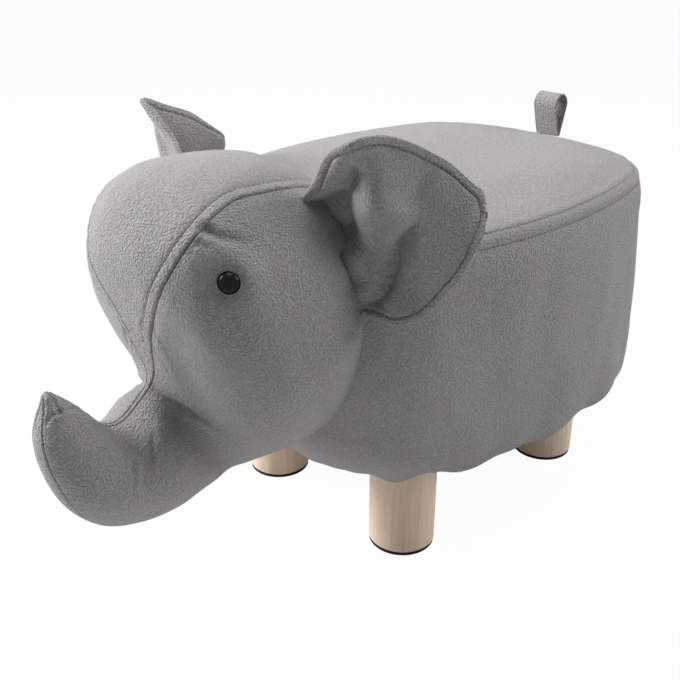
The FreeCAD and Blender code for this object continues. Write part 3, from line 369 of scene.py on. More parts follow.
def plush(name, light, dark):
    """Short pebbled nap: clumps about a millimetre wide, lighter on top, with painted shade darker between
    them.
    """
    material, place = nodes_of(name)
    shifted = place.id_data.nodes.new("ShaderNodeVectorMath")
    shifted.operation = "MULTIPLY_ADD"
    for value, socket in zip((noise_of(place, 240.0, 2.0), (NAP_SHIFT,) * 3, place), shifted.inputs):
        join(value, socket)
    clumps = node_of("TexVoronoi", Vector=shifted.outputs["Vector"], Scale=740.0, Randomness=1.0)
    clumps.feature = "SMOOTH_F1"
    feed(clumps, Smoothness=0.6)
    depth = clumps.outputs["Distance"]
    fibres = noise_of(place, 1900.0, 3.0, 0.7)
    patches = noise_of(place, 26.0, 4.0, 0.6)
    broad = noise_of(place, 7.0, 2.0, 0.5)
    # The nap's colour is painted shade, dark between the clumps and light on their tops, with random
    # patches of tone mixed in.
    nap_shade_and_tone = ramp_of(depth, (0.08, light), (0.58, dark))
    for spots, share, tone in ((patches, 0.34, 0.80), (broad, 0.22, 1.12)):
        nap_shade_and_tone = mix_of(maths("MULTIPLY", spots, share), nap_shade_and_tone,
                      tuple(min(part * tone, 1.0) for part in light))
    specks = ramp_of(fibres, (0.35, 0.82), (0.65, 1.0))
    height = maths("ADD", maths("SUBTRACT", 1.0, depth),
                   maths("MULTIPLY", fibres, 0.35))
    return dress(material, mix_of(1.0, nap_shade_and_tone, specks, "MULTIPLY"),
                 ramp_of(patches, (0.3, 0.86), (0.7, 0.97)),
                 bump_of(patches, 0.0016, 0.25, Normal=bump_of(height, 0.00125, 1.0)),
                 0.18, Sheen_Weight=0.16, Sheen_Roughness=0.55)


def twisted_thread(name, colour):
    """Spun thread, with painted shade darker between its turns."""
    material, place = nodes_of(name)
    twist = noise_of(stretched(place, (1.0, 1.0, 0.35)), 2600.0, 2.0)
    # The darker colour in the grooves between the turns is painted shade.
    tint = ramp_of(twist, (0.3, tuple(part * 0.7 for part in colour)), (0.7, colour))
    return dress(material, tint, 0.7, bump_of(twist, 0.0002, 0.5))


# Growth lines run along the way in which a wood's pattern is drawn out.
GRAIN_UP = (1.0, 1.0, 0.05)
GRAIN_ALONG_Y = (1.0, 0.05, 1.0)


def timber(name, light, dark, scale, grain, gloss, pore):
    """Wood with growth lines along one way, fine pores and a satin finish."""
    material, place = nodes_of(name)
    drawn = stretched(place, grain)
    rings = noise_of(drawn, scale, 4.0, 0.6, 0.6)
    lines = noise_of(drawn, scale * 6.0, 3.0, 0.6, 0.3)
    pores = noise_of(stretched(place, tuple(0.4 * part for part in grain)),
                     scale * 26.0, 2.0, 0.6)
    patches = noise_of(place, 22.0, 2.0)
    between = tuple(0.5 * (first + second) for first, second in zip(light, dark))
    colour = mix_of(0.8, ramp_of(rings, (0.34, light), (0.52, between), (0.66, dark)),
                    ramp_of(lines, (0.36, (0.86, 0.83, 0.79)), (0.58, 1.0)), "MULTIPLY")
    colour = mix_of(pore, colour,
                    ramp_of(pores, (0.30, (0.62, 0.55, 0.46)), (0.40, 1.0)), "MULTIPLY")
    return dress(material, mix_of(maths("MULTIPLY", patches, 0.25), colour, dark),
                 ramp_of(lines, (0.3, gloss + 0.12), (0.7, gloss)),
                 bump_of(pores, 0.0003, 0.3, Normal=bump_of(lines, 0.0004, 0.35)), 0.4)


def plain_cloth(name, light, dark, scale, depth=0.0004):
    """Non-woven or felt-like cloth: matted fibres with soft patches."""
    material, place = nodes_of(name)
    fibres = noise_of(place, scale, 4.0, 0.7, 0.8)
    patches = noise_of(place, 40.0, 3.0)
    tint = ramp_of(fibres, (0.32, dark), (0.66, light))
    return dress(material, mix_of(maths("MULTIPLY", patches, 0.4), tint, dark), 0.95,
                 bump_of(fibres, depth, 0.6), 0.15)


def metal(name):
    """Zinc plating with faint spangles and brush marks."""
    material, place = nodes_of(name)
    spangle = noise_of(place, 420.0, 3.0)
    brushed = noise_of(stretched(place, (1.0, 1.0, 8.0)), 900.0, 2.0)
    return dress(material, ramp_of(spangle, (0.3, (0.52, 0.54, 0.55)), (0.7, (0.72, 0.73, 0.74))),
                 ramp_of(brushed, (0.3, 0.28), (0.7, 0.48)),
                 bump_of(brushed, 0.0001, 0.4), Metallic=1.0)


def plastic(name, light, dark, low, high, shine=0.5):
    """Moulded plastic with a little haze, its roughness uneven from fine scuffs."""
    material, place = nodes_of(name)
    haze = noise_of(place, 130.0, 3.0)
    scuffs = noise_of(stretched(place, (1.0, 6.0, 2.0)), 620.0, 3.0)
    return dress(material, ramp_of(haze, (0.3, light), (0.7, dark)),
                 ramp_of(scuffs, (0.35, low), (0.75, high)),
                 bump_of(scuffs, 0.00005, 0.15), shine)


# The plush's darker colour is the painted shade between the clumps of its nap.
PLUSH = plush("grey_plush", (0.630, 0.612, 0.615), (0.350, 0.337, 0.339))
THREAD = twisted_thread("grey_thread", (0.24, 0.23, 0.225))
LEG_WOOD = timber("pale_beech", (0.970, 0.790, 0.630), (0.920, 0.700, 0.530), 70.0, GRAIN_UP, 0.42, 0.2)
SOFT_WOOD = timber("softwood", (0.62, 0.46, 0.28), (0.45, 0.28, 0.14), 60.0, GRAIN_UP, 0.6, 0.3)
PLY = timber("plywood", (0.56, 0.42, 0.25), (0.42, 0.28, 0.15), 40.0, GRAIN_ALONG_Y, 0.6, 0.4)
HARDBOARD = plain_cloth("fibreboard", (0.30, 0.19, 0.10), (0.17, 0.10, 0.05), 900.0, 0.0002)
LINING = plain_cloth("lining", (0.045, 0.045, 0.048), (0.018, 0.018, 0.020), 1300.0)
FELT = plain_cloth("felt", (0.060, 0.052, 0.046), (0.022, 0.019, 0.017), 1500.0)
ZINC = metal("zinc_steel")
GLOSS = plastic("black_gloss", (0.004, 0.004, 0.004), (0.009, 0.008, 0.008), 0.03, 0.08, 0.12)
WHITE = plastic("white_plastic", (0.78, 0.78, 0.76), (0.70, 0.70, 0.68), 0.4, 0.55)

CAD_FINISH = {
    "base_board": PLY, "seat_board": PLY, "side_hoop": HARDBOARD, "post_screws": ZINC,
    "tee_nuts": ZINC, "hanger_bolts": ZINC, "foot_pads": FELT, "eye_washers": WHITE,
    "eye_left": GLOSS, "eye_right": GLOSS,
}
for corner in ("front_left", "front_right", "rear_left", "rear_right"):
    CAD_FINISH["post_" + corner] = SOFT_WOOD
    CAD_FINISH["leg_" + corner] = LEG_WOOD
for node, material in CAD_FINISH.items():
    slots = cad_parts[node].data.materials
    slots.clear()
    slots.append(material)


# The seat's outline, as in the solids: eight tangent arcs

SEAT_HALF_WIDTH = 150.0
SEAT_HALF_LENGTH = 190.0
SIDE_RADIUS = 430.0
END_RADIUS = 310.0
CORNER_RADIUS = 92.0
SEAM_INSET = 10.0
BELLY_DROP = 33.0
BELLY_REACH = 40.0
END_TUCK = 5.5
BELLY_LEAN = 20.0
CORNER_SKEW = 10.0
SIDE_LEAN = 33.0
BASE = 95.0
SEAM = 274.0
CROWN_RISE = 13.0
ARC_POINTS = 64


def corner_facts(across, along, extra, shift):
    """Radii and centres of the side, end and corner arcs. The corner touches the other two."""
    side = SIDE_RADIUS - across
    end = END_RADIUS - along
    corner = CORNER_RADIUS - (across + along) / 2 + extra
    side_centre = np.array((SEAT_HALF_WIDTH - across - side, shift))
    end_centre = np.array((0.0, SEAT_HALF_LENGTH - along - end))
    span = end_centre - side_centre
    gap = np.linalg.norm(span)
    reach = (gap ** 2 + (side - corner) ** 2 - (end - corner) ** 2) / (2 * gap)
    away = math.sqrt((side - corner) ** 2 - reach ** 2)
    towards = span / gap
    outward = np.array((-towards[1], towards[0]))
    return side, end, corner, side_centre, end_centre, side_centre + towards * reach + outward * away


def outline(height, across, along, lean):
    """Points round the seat at one level, from its left side by the rear."""
    kinds = []
    for way in (1, -1):
        side, end, radius, side_centre, end_centre, centre = corner_facts(
            across, along, -way * lean * CORNER_SKEW, way * lean * SIDE_LEAN)
        kinds.append((centre, radius, math.atan2(*(centre - side_centre)[::-1]),
                      math.atan2(*(centre - end_centre)[::-1]), side_centre))
    rear, rear_radius, rear_side, rear_end, left_centre = kinds[0]
    front, front_radius, front_side, front_end = kinds[1][:4]
    plan = (
        (left_centre, side, -front_side, rear_side),
        (rear, rear_radius, rear_side, rear_end),
        (end_centre, end, rear_end, math.pi - rear_end),
        (rear * (-1, 1), rear_radius, math.pi - rear_end, math.pi - rear_side),
        (left_centre * (-1, 1), side, math.pi - rear_side, math.pi + front_side),
        (-front, front_radius, math.pi + front_side, math.pi + front_end),
        (-end_centre, end, math.pi + front_end, FULL_TURN - front_end),
        (front * (1, -1), front_radius, FULL_TURN - front_end, FULL_TURN - front_side),
    )
    rows = []
    for centre, radius, start, stop in plan:
        angles = np.linspace(start, stop, ARC_POINTS, endpoint=False)
        rows.append(centre + radius * pair(np.cos(angles), np.sin(angles)))
    x, y = np.concatenate(rows).T
    return np.stack((x, y + lean * BELLY_LEAN + SEAT_Y, np.full(len(x), height)), axis=1)


# Wall levels, as in the solids: height share, seam part, reach part, lean
WALL_SHARES = (
    (0.945, 0.50, 0.00, 0.00),
    (0.760, 0.08, 0.00, 0.00),
    (0.530, 0.00, 0.00, 0.08),
    (0.270, 0.10, 0.00, 0.28),
    (0.140, 0.20, 0.00, 0.42),
    (0.030, 0.40, 0.01, 0.56),
)
BELLY_SHARES = (
    (0.30, 0.50, 0.10, 0.78),
    (0.61, 0.50, 0.24, 0.90),
    (0.88, 0.50, 0.50, 0.95),
    (1.00, 0.50, 0.76, 0.85),
    (0.88, 0.50, 0.97, 0.65),
    (0.60, 0.50, 1.06, 0.35),
)
FLANGE_REACH_SHARE = 1.13
FLANGE_LEAN_SHARE = 0.20
COVER = 1.5


def wall_levels():
    """Height, insets across and along, and lean of each level of the wall."""
    levels = [(SEAM, SEAM_INSET, SEAM_INSET, 0.0)]
    for table, span in ((WALL_SHARES, SEAM - BASE), (BELLY_SHARES, -BELLY_DROP)):
        for up, seam_part, reach_part, lean in table:
            across = seam_part * SEAM_INSET + reach_part * BELLY_REACH
            levels.append((BASE + up * span, across, across + lean * END_TUCK, lean))
    across = SEAM_INSET / 2 + FLANGE_REACH_SHARE * BELLY_REACH
    levels.append((BASE - COVER, across, across + FLANGE_LEAN_SHARE * END_TUCK,
                   FLANGE_LEAN_SHARE))
    return levels


LEVELS = wall_levels()
level_rows = np.stack([outline(*level) for level in LEVELS])
level_marks = path_length(level_rows).mean(axis=1)
WALL_ROWS = 132
STITCH_DROP = 10.0
STITCH_ROW = 13
NEAR_RIM = np.array((0.0, 0.35, 0.7, 1.1, 1.6, 2.4, 3.4, 4.6, 5.9, 7.2, 8.4, 9.1, 9.6, 10.0, 10.4,
                     10.9, 11.7, 12.9, 14.6))
WALL_START = 16.5
SEAM_ROLL = 1.5
SEAM_HALF = 0.8
# Swells of the wall: height, span, seed and how far they are drawn out
WALL_SWELLS = ((1.5, 110.0, 12, (1.0, 1.0, 1.9)), (0.6, 42.0, 13, (0.8, 0.8, 2.2)))
HEM = (232.0, 246.0)

wall_at = np.concatenate((NEAR_RIM, np.linspace(WALL_START, level_marks[-1], WALL_ROWS)))
wall = smooth(level_marks, level_rows, wall_at)
wall_normal = -normals_of(wall, True)
down = path_length(wall)
around = np.broadcast_to(path_length(wall[0]), wall.shape[:2])
rim_down = wall_at[:, None]
above_hem = 1 - fade(down, *HEM)

# Seam, band and stitches at the rim, then swells, and a gathered hem that dips and rises
wall_move = np.broadcast_to(-SEAM_ROLL * bump(rim_down, 0.0, SEAM_HALF)
                            + 1.5 * bump(rim_down, 5.0, 3.6)
                            - 0.75 * bump(rim_down, STITCH_DROP, 0.6), wall.shape[:2]).copy()
wall_move += 0.28 * ripple(around, down * 0.25, 9.0, 11) * bump(down, STITCH_DROP, 7.0)
for height, span, seed, stretch in WALL_SWELLS:
    wall_move += height * fade(down, 12.0, 40.0) * swell(wall, span, seed, stretch)
wall_move += 1.7 * fade(down, 90.0, 190.0) * ripple(around, down * 0.35, 46.0, 14) * above_hem
# Low at the front the cloth lies close over the bent board and moves only outward.
DEEPEST = -4.0
CLOSE_RISE = 5.2
over_board = (1 - fade(wall[..., 1], -70.0, -52.0)) * fade(down, 135.0, 160.0)
wall_move = np.maximum(wall_move, DEEPEST + CLOSE_RISE * over_board)
wall = wall + wall_normal * wall_move[..., None]
wall[:, :, 2] += 1.3 * fade(down, 185.0, 212.0) * above_hem * ripple(around, around * 0, 40.0, 15)
side_piece = grid_piece("seat_side", wall, PLUSH, wrap=True)
# The stitches stop where the head covers the rim.
HEAD_HALF = 96.0
under_head = (wall[STITCH_ROW, :, 1] < -50.0) & (np.abs(wall[STITCH_ROW, :, 0]) < HEAD_HALF)
rim_stitches = stitch_piece("seat_stitches", [(wall[STITCH_ROW], wall_normal[STITCH_ROW], ~under_head)])

# The seat's top: the seam's outline drawn in ring by ring, each ring's size and share of the rise
CROWN_SHARES = ((1.00, 0.0), (0.97, 0.14), (0.91, 0.36), (0.80, 0.62), (0.62, 0.85),
                (0.38, 0.97), (0.20, 1.0), (0.0, 1.0))
TOP_ROWS = 84
SEAM_REACH = 160.0
spreads, rises = np.array(CROWN_SHARES).T
spread_marks = 1.0 - spreads
top_at = np.concatenate((NEAR_SEAM / SEAM_REACH, np.linspace(0.112, 0.985, TOP_ROWS - len(NEAR_SEAM))))
seam_ring = outline(SEAM, SEAM_INSET, SEAM_INSET, 0.0)
seat_middle = np.array((0.0, SEAT_Y, SEAM))
top = seat_middle + (seam_ring - seat_middle)[None] * (1.0 - top_at)[:, None, None]
top[:, :, 2] = SEAM + smooth(spread_marks, rises, top_at)[:, None] * CROWN_RISE
inward = path_length(top)
top_move = -SEAM_ROLL * bump(inward, 0.0, SEAM_HALF)
top_move += 0.5 * bump(inward, 4.0, 3.4)
top_move += 0.25 * bump(inward, 0.0, 8.0) * ripple(around[:len(top)], inward * 0.3, 9.0, 21)
top_move += 0.9 * fade(inward, 8.0, 40.0) * swell(top, 120.0, 22)
top_move += 0.25 * fade(inward, 8.0, 30.0) * swell(top, 38.0, 23)
top = top + normals_of(top, True) * top_move[..., None]
centre_row = np.broadcast_to(top[-1].mean(axis=0), (1,) + top.shape[1:])
top_piece = grid_piece("seat_top", np.concatenate((top, centre_row)), PLUSH, wrap=True, flip=True)


# Head and trunk, one closed skin in four panels

NECK = -132.0 + SEAT_Y
HALF_HEAD = 100.0
HEAD_DEPTH = 160.0
HEAD_HEIGHT = 231.0
CHIN_HEIGHT = 94.0
ROOT_FORWARD = 110.4
TRUNK_LENGTH = 119.6
TRUNK_HEIGHT = 118.0
TRUNK_BASE = 84.0
HEAD_SHARES = (
    (0.000, 0.835, 0.110, 0.080, 0.88, 0.58, 0.13, 0.36, 0.12),
    (0.220, 0.965, 0.240, 0.030, 0.96, 0.57, 0.11, 0.38, 0.12),
    (0.500, 1.000, 0.380, 0.015, 1.00, 0.56, 0.11, 0.37, 0.12),
    (0.700, 0.990, 0.430, 0.012, 0.98, 0.55, 0.10, 0.35, 0.12),
    (0.845, 0.942, 0.465, 0.010, 0.94, 0.56, 0.10, 0.33, 0.12),
    (0.988, 0.790, 0.520, 0.005, 0.75, 0.44, 0.09, 0.29, 0.11),
    (0.960, 0.600, 0.590, -0.010, 0.39, 0.20, 0.05, 0.22, 0.10),
    (0.902, 0.403, 0.690, -0.040, 0.35, 0.04, 0.01, 0.18, 0.08),
)
TRUNK_SHARES = (
    (0.373, 0.746, 0.288, 0.000),
    (0.517, 0.655, 0.550, 0.008),
    (0.600, 0.675, 0.735, 0.080),
    (0.645, 0.725, 0.870, 0.220),
    (0.705, 0.805, 0.975, 0.480),
    (0.790, 0.907, 1.000, 0.730),
    (0.885, 1.000, 0.935, 0.945),
)
TRUNK_ROUND_SHARES = (0.96, 0.05, 0.002, 0.42, 0.10)


def section_rows():
    """Top and bottom points, then half width, crown seam and chin seam, in millimetres."""
    rows = []
    for top_out, top_up, low_out, low_up, *shape in HEAD_SHARES:
        rows.append([NECK - top_out * HEAD_DEPTH, CHIN_HEIGHT + top_up * HEAD_HEIGHT,
                     NECK - low_out * HEAD_DEPTH, CHIN_HEIGHT + low_up * HEAD_HEIGHT]
                    + [share * HALF_HEAD for share in shape])
    for top_out, top_up, low_out, low_up in TRUNK_SHARES:
        start = NECK - ROOT_FORWARD
        ends = [start - top_out * TRUNK_LENGTH, TRUNK_BASE + top_up * TRUNK_HEIGHT,
                start - low_out * TRUNK_LENGTH, TRUNK_BASE + low_up * TRUNK_HEIGHT]
        half = math.hypot(ends[0] - ends[2], ends[1] - ends[3]) / 2
        rows.append(ends + [share * half for share in TRUNK_ROUND_SHARES])
    return np.array(rows)


def arcs_through(first, second, third, shares):
    """Points on the arcs through three points of each row, at shares of each sweep."""
    (x1, y1), (x2, y2), (x3, y3) = first.T, second.T, third.T
    square1, square2, square3 = ((spot ** 2).sum(axis=1) for spot in (first, second, third))
    turn = 2 * (x1 * (y2 - y3) + x2 * (y3 - y1) + x3 * (y1 - y2))
    x = (square1 * (y2 - y3) + square2 * (y3 - y1) + square3 * (y1 - y2)) / turn
    y = (square1 * (x3 - x2) + square2 * (x1 - x3) + square3 * (x2 - x1)) / turn
    radius = np.hypot(x1 - x, y1 - y)
    angles = [np.arctan2(spot[:, 1] - y, spot[:, 0] - x) for spot in (first, second, third)]
    sweep = (angles[2] - angles[0]) % FULL_TURN
    sweep = np.where((angles[1] - angles[0]) % FULL_TURN > sweep, sweep - FULL_TURN, sweep)
    angle = angles[0][:, None] + sweep[:, None] * shares
    points = pair(x, y)[:, None] + radius[:, None, None] * pair(np.cos(angle), np.sin(angle))
    return points, np.abs(sweep) * radius


rows = section_rows()
section_marks = np.concatenate((np.zeros(1), np.cumsum(
    np.linalg.norm(np.diff(rows[:, 0:2], axis=0), axis=1) * 0.5
    + np.linalg.norm(np.diff(rows[:, 2:4], axis=0), axis=1) * 0.5)))
HEAD_ROWS = 330
head_at = np.linspace(0.0, section_marks[-1], HEAD_ROWS)
fine = smooth(section_marks, rows, head_at)
half = np.hypot(fine[:, 0] - fine[:, 2], fine[:, 1] - fine[:, 3]) / 2
zero = np.zeros(HEAD_ROWS)
crown = pair(fine[:, 5], half - fine[:, 6])
side = pair(fine[:, 4], zero)
chin = pair(fine[:, 7], fine[:, 8] - half)
mirror = np.array((-1.0, 1.0))
# The head's panels: how many columns of points lie between the crowded ones at their seams, the
# piece's name and what it stands for
PANELS = {
    "crown": (34, "forehead", ("forehead_panel", "head_filling", "neck_panel")),
    "left": (76, "cheek_left", ("head_left_panel", "trunk_filling")),
    "chin": (28, "chin", ("chin_panel",)),
    "right": (76, "cheek_right", ("head_right_panel", "trunk_tip_filling")),
}
corner_sets = {
    "crown": (crown * mirror, pair(zero, half), crown),
    "left": (crown, side, chin),
    "chin": (chin, pair(zero, -half), chin * mirror),
    "right": (chin * mirror, side * mirror, crown * mirror),
}
strips = []
for label, (columns, _, _) in PANELS.items():
    length = arcs_through(*corner_sets[label], 0.0)[1]
    shares = seam_shares(length, columns)
    strips.append((arcs_through(*corner_sets[label], shares)[0], shares,
                   np.broadcast_to(length[:, None], shares.shape), np.full(shares.shape, label)))
flat_points, share_of, panel_width, panel_of = (np.concatenate(strip, axis=1) for strip in zip(*strips))
panel_of = panel_of[0]
middle = (fine[:, 0:2] + fine[:, 2:4]) / 2
rise = (fine[:, 0:2] - fine[:, 2:4]) / (2 * half)[:, None]
head = np.concatenate((flat_points[..., :1], middle[:, None] + rise[:, None] * flat_points[..., 1:]),
                      axis=-1)
# The forehead's right seam lies further round than the form's own corner, which is rounded away.
FAR_SHIFT = 9.0
far_shift = (FAR_SHIFT * fade(head_at, section_marks[1], section_marks[3])
             * (1 - fade(head_at, section_marks[5], section_marks[7])))
start_gap = share_of * panel_width
stop_gap = (1.0 - share_of) * panel_width
seam_gap = np.minimum(start_gap, stop_gap)
SOFTEN = 6.0
near_count = len(NEAR_SEAM) - 1
window = np.arange(-near_count, near_count + 1)
beside_far = np.concatenate((-stop_gap[:, window[:near_count]], start_gap[:, window[near_count:]]), axis=1)
for row, run in enumerate(beside_far):
    weight = 0.8 * bump(run, 0.0, SOFTEN) * min(far_shift[row] / FAR_SHIFT * 2.0, 1.0)
    line = head[row, window]
    chord = (read_at(run + SOFTEN, run, line) + read_at(run - SOFTEN, run, line)) / 2
    head[row, window] = line + weight[:, None] * (chord - line)
head_normal = -normals_of(head, True)
head_along = path_length(head)
trunk_start = section_marks[len(HEAD_SHARES) - 1]
on_trunk = fade(head_at, trunk_start - 40.0, trunk_start + 20.0)[:, None]
is_crown, is_left, is_chin, is_right = ((panel_of == label)[None] for label in PANELS)
# Distance past the crown seam: onto the cheek above nought, onto the forehead below it.
FAR_AWAY = 99.0
past_crown = np.select([is_crown, is_left, is_chin], [-seam_gap, start_gap, FAR_AWAY], stop_gap)
far_half = is_right | (is_crown & (start_gap < stop_gap))
past_crown = past_crown - far_half * far_shift[:, None]
to_crown = np.abs(past_crown)
to_chin = np.select([is_chin, is_left, is_crown], [seam_gap, stop_gap, FAR_AWAY], start_gap)
crown_wide = fade(panel_width[:, 0], 22.0, 40.0)[:, None]
on_band = (past_crown < 0) * crown_wide
on_cheek = (past_crown >= 0) * ~is_chin * (1 - on_trunk)
move = -2.6 * bump(to_crown, 0.0, 0.6) * (1 - 0.6 * on_trunk)
move -= 1.8 * bump(to_chin, 0.0, 0.7) * (1 - 0.45 * on_trunk)
# Forehead side: a nearly flat band beside the seam, ended by a line of stitches.
BAND_RISE = 0.55
move += on_band * BAND_RISE * fade(to_crown, 0.4, 2.2) * (1 - fade(to_crown, 6.4, BAND))
move -= on_band * BAND_RISE * bump(to_crown, BAND, 0.7)
move += on_band * BAND_RISE * fade(to_crown, BAND, 13.0)
# Cheek side: it swells up from the seam and is puckered by it.
move += on_cheek * 0.9 * fade(to_crown, 0.5, 9.0)
beside_seam = to_crown * 0.3
gather = np.clip(ripple(head_along, beside_seam, 70.0, 30, waves=4), 0.10, 1.1)
move += (on_cheek * 0.6 * gather * fade(to_crown, 0.4, 3.0) * np.exp(-(to_crown / 14.0))
         * ripple(head_along, beside_seam, 12.0, 31))
move += on_band * 0.20 * bump(to_crown, 0.0, 9.0) * ripple(head_along, beside_seam, 8.0, 32)
body_part = fade(seam_gap, 4.0, 26.0)
move += 0.9 * body_part * (1 - on_trunk) * swell(head, 95.0, 33)
move += 0.35 * body_part * swell(head, 34.0, 34)
# The ear's sewn root draws the cheek in, and it swells beside it.
EAR_ROOT_LINE = ((87.0, -178.0, 290.0), (87.0, -176.0, 274.0), (90.0, -171.0, 226.0))
ROOT_DEPTH = 5.5
for way in (1.0, -1.0):
    gap, _ = along_line(head, [(way * x, y + SEAT_Y, z) for x, y, z in EAR_ROOT_LINE])
    pull = ripple(head[..., 2], gap * 0.4, 13.0, 35)
    move += -ROOT_DEPTH * bump(gap, 0.0, 3.0) + (0.9 + 0.7 * pull) * bump(gap, 10.0, 6.0)
# Folds of the left cheek and trunk as the photo shows them, a little weaker on the right:
# their lines, how deep and how wide they are, and how strong at either end.
HEAD_FOLDS = (
    (((57, -179, 302), (66, -173, 297), (71, -166, 295), (76, -159, 291)), 2.6, 2.8, (1.0, 0.1)),
    (((59, -185, 295), (65, -181, 291)), 1.2, 2.2, (1.0, 0.1)),
    (((6, -194, 179), (16, -190, 174), (23, -186, 171), (31, -181, 166), (36, -175, 160),
      (43, -166, 150), (49, -155, 136)), 2.8, 2.1, (0.3, 0.2)),
    (((26, -226, 150), (31, -230, 143), (35, -236, 124)), 1.9, 1.7, (0.2, 0.3)),
    (((28, -219, 148), (33, -223, 138), (36, -228, 128)), 1.6, 1.6, (0.2, 0.3)),
    (((26, -209, 158), (31, -217, 144), (36, -223, 126)), 1.9, 1.8, (0.2, 0.2)),
    (((30, -203, 158), (39, -202, 142), (42, -197, 122)), 1.7, 1.9, (0.2, 0.2)),
    (((30, -239, 147), (33, -244, 135)), 0.8, 1.6, (0.4, 0.4)),
    (((7, -272, 185), (8, -269, 190), (10, -264, 191), (8, -254, 189), (0, -242, 179)),
     1.1, 1.3, (0.7, 0.4)),
    (((0, -265, 202), (6, -265, 197), (10, -264, 191)), 1.1, 1.3, (1.0, 1.0)),
)
RIGHT_FOLD_SHARE = 0.8
for way, weight in ((1.0, 1.0), (-1.0, RIGHT_FOLD_SHARE)):
    spots = head * (way, 1.0, 1.0)
    for corners, depth, width, ends in HEAD_FOLDS:
        move += weight * (spots[..., 0] > -1.0) * fold(spots, corners, depth, width, ends)
head = head + head_normal * move[..., None]

# The head's open back dips into the seat.
BACK_DIP = 8.0
head[..., 2] -= BACK_DIP * (1 - fade(head_at, 0.0, 26.0))[:, None]

# The cheek lies flat round each eye, whose foot sinks a little into the nap.
EYE_SPOT = np.array((74.3, -176.1, 271.8))
EYE_WAY = np.array((0.648, -0.745, 0.161))
EYE_SINK = 2.3
for way in (1.0, -1.0):
    from_eye = head * (way, 1.0, 1.0) - EYE_SPOT
    above = from_eye @ EYE_WAY
    beside = np.linalg.norm(from_eye - above[..., None] * EYE_WAY, axis=-1)
    hold = (1 - fade(beside, 8.0, 26.0)) * (np.abs(above) < 30.0)
    nap_rise = EYE_SINK - 0.9 * bump(beside, 8.5, 2.0)
    head = head - (hold * (above - nap_rise))[..., None] * EYE_WAY * (way, 1.0, 1.0)

# The trunk's closed tip, drawn in over a few rows: each row's size and how far ahead it lies
TIP_ROWS = ((0.90, 0.9), (0.70, 1.7), (0.42, 2.2), (0.0, 2.3))
tip_middle = head[-1].mean(axis=0)
tip_way = unit((tip_middle - head[-6].mean(axis=0)) * (0.0, 1.0, 1.0))
head = np.concatenate((head, np.stack([tip_middle + (head[-1] - tip_middle) * shrink + tip_way * ahead
                                       for shrink, ahead in TIP_ROWS])))

# How many of the wall's levels, from its seam down, the head and the ears can meet
SIDE_LEVELS = 8


def seat_reach(ring, points):
    """How far points lie from a ring's middle, and how far out the ring lies on their side."""
    middle = ring[:, :2].mean(axis=0)
    ring, spots = ring[:, :2] - middle, points[:, :2] - middle
    angle = np.arctan2(ring[:, 1], ring[:, 0])
    order = np.argsort(angle)
    reach = np.interp(np.arctan2(spots[:, 1], spots[:, 0]), angle[order],
                      np.linalg.norm(ring, axis=1)[order], period=FULL_TURN)
    return np.linalg.norm(spots, axis=1), reach


def inside_seat(points, depth):
    """True where a point lies in the seat, deeper than a depth."""
    flat = points.reshape(-1, 3)
    inside = np.zeros(len(flat), bool)
    for place in range(SIDE_LEVELS - 1):
        band = (flat[:, 2] <= LEVELS[place][0]) & (flat[:, 2] > LEVELS[place + 1][0])
        distance, reach = seat_reach((level_rows[place] + level_rows[place + 1]) / 2, flat[band])
        inside[band] = distance < reach - depth
    above = flat[:, 2] > SEAM
    distance, reach = seat_reach(seam_ring, flat[above])
    share = np.clip(1.0 - distance / reach, 0.0, 1.0)
    lift = np.interp(share, spread_marks, rises) * CROWN_RISE
    inside[above] = (flat[above][:, 2] < SEAM + lift - depth) & (share > 0.01)
    return inside.reshape(points.shape[:-1])


HEAD_DIVE = 4.0
head_keep = ~inside_seat(head, HEAD_DIVE)
head_pieces = []
for label, (_, piece_name, stands_for) in PANELS.items():
    columns = np.flatnonzero(panel_of == label)
    columns = np.append(columns, (columns[-1] + 1) % len(panel_of))
    piece = grid_piece(piece_name, head[:, columns], PLUSH, keep=head_keep[:, columns])
    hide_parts(*stands_for)
    head_pieces.append(piece)

# A line of stitches along the edge of the forehead's band, on either side
head_outward = -normals_of(head, True)
row = np.arange(HEAD_ROWS)
band_lines = []
for half_side in (is_left | (is_crown & ~far_half), far_half):
    place = np.argmin(np.abs(np.where(half_side, past_crown, 10 * FAR_AWAY) + BAND), axis=1)
    shown = head_keep[row, place] & (crown_wide[:, 0] > 0.4) & (head_at > 12.0)
    band_lines.append((eased(head[row, place], 3), head_outward[row, place], shown))
band_stitches = stitch_piece("forehead_stitches", band_lines)


# Ears

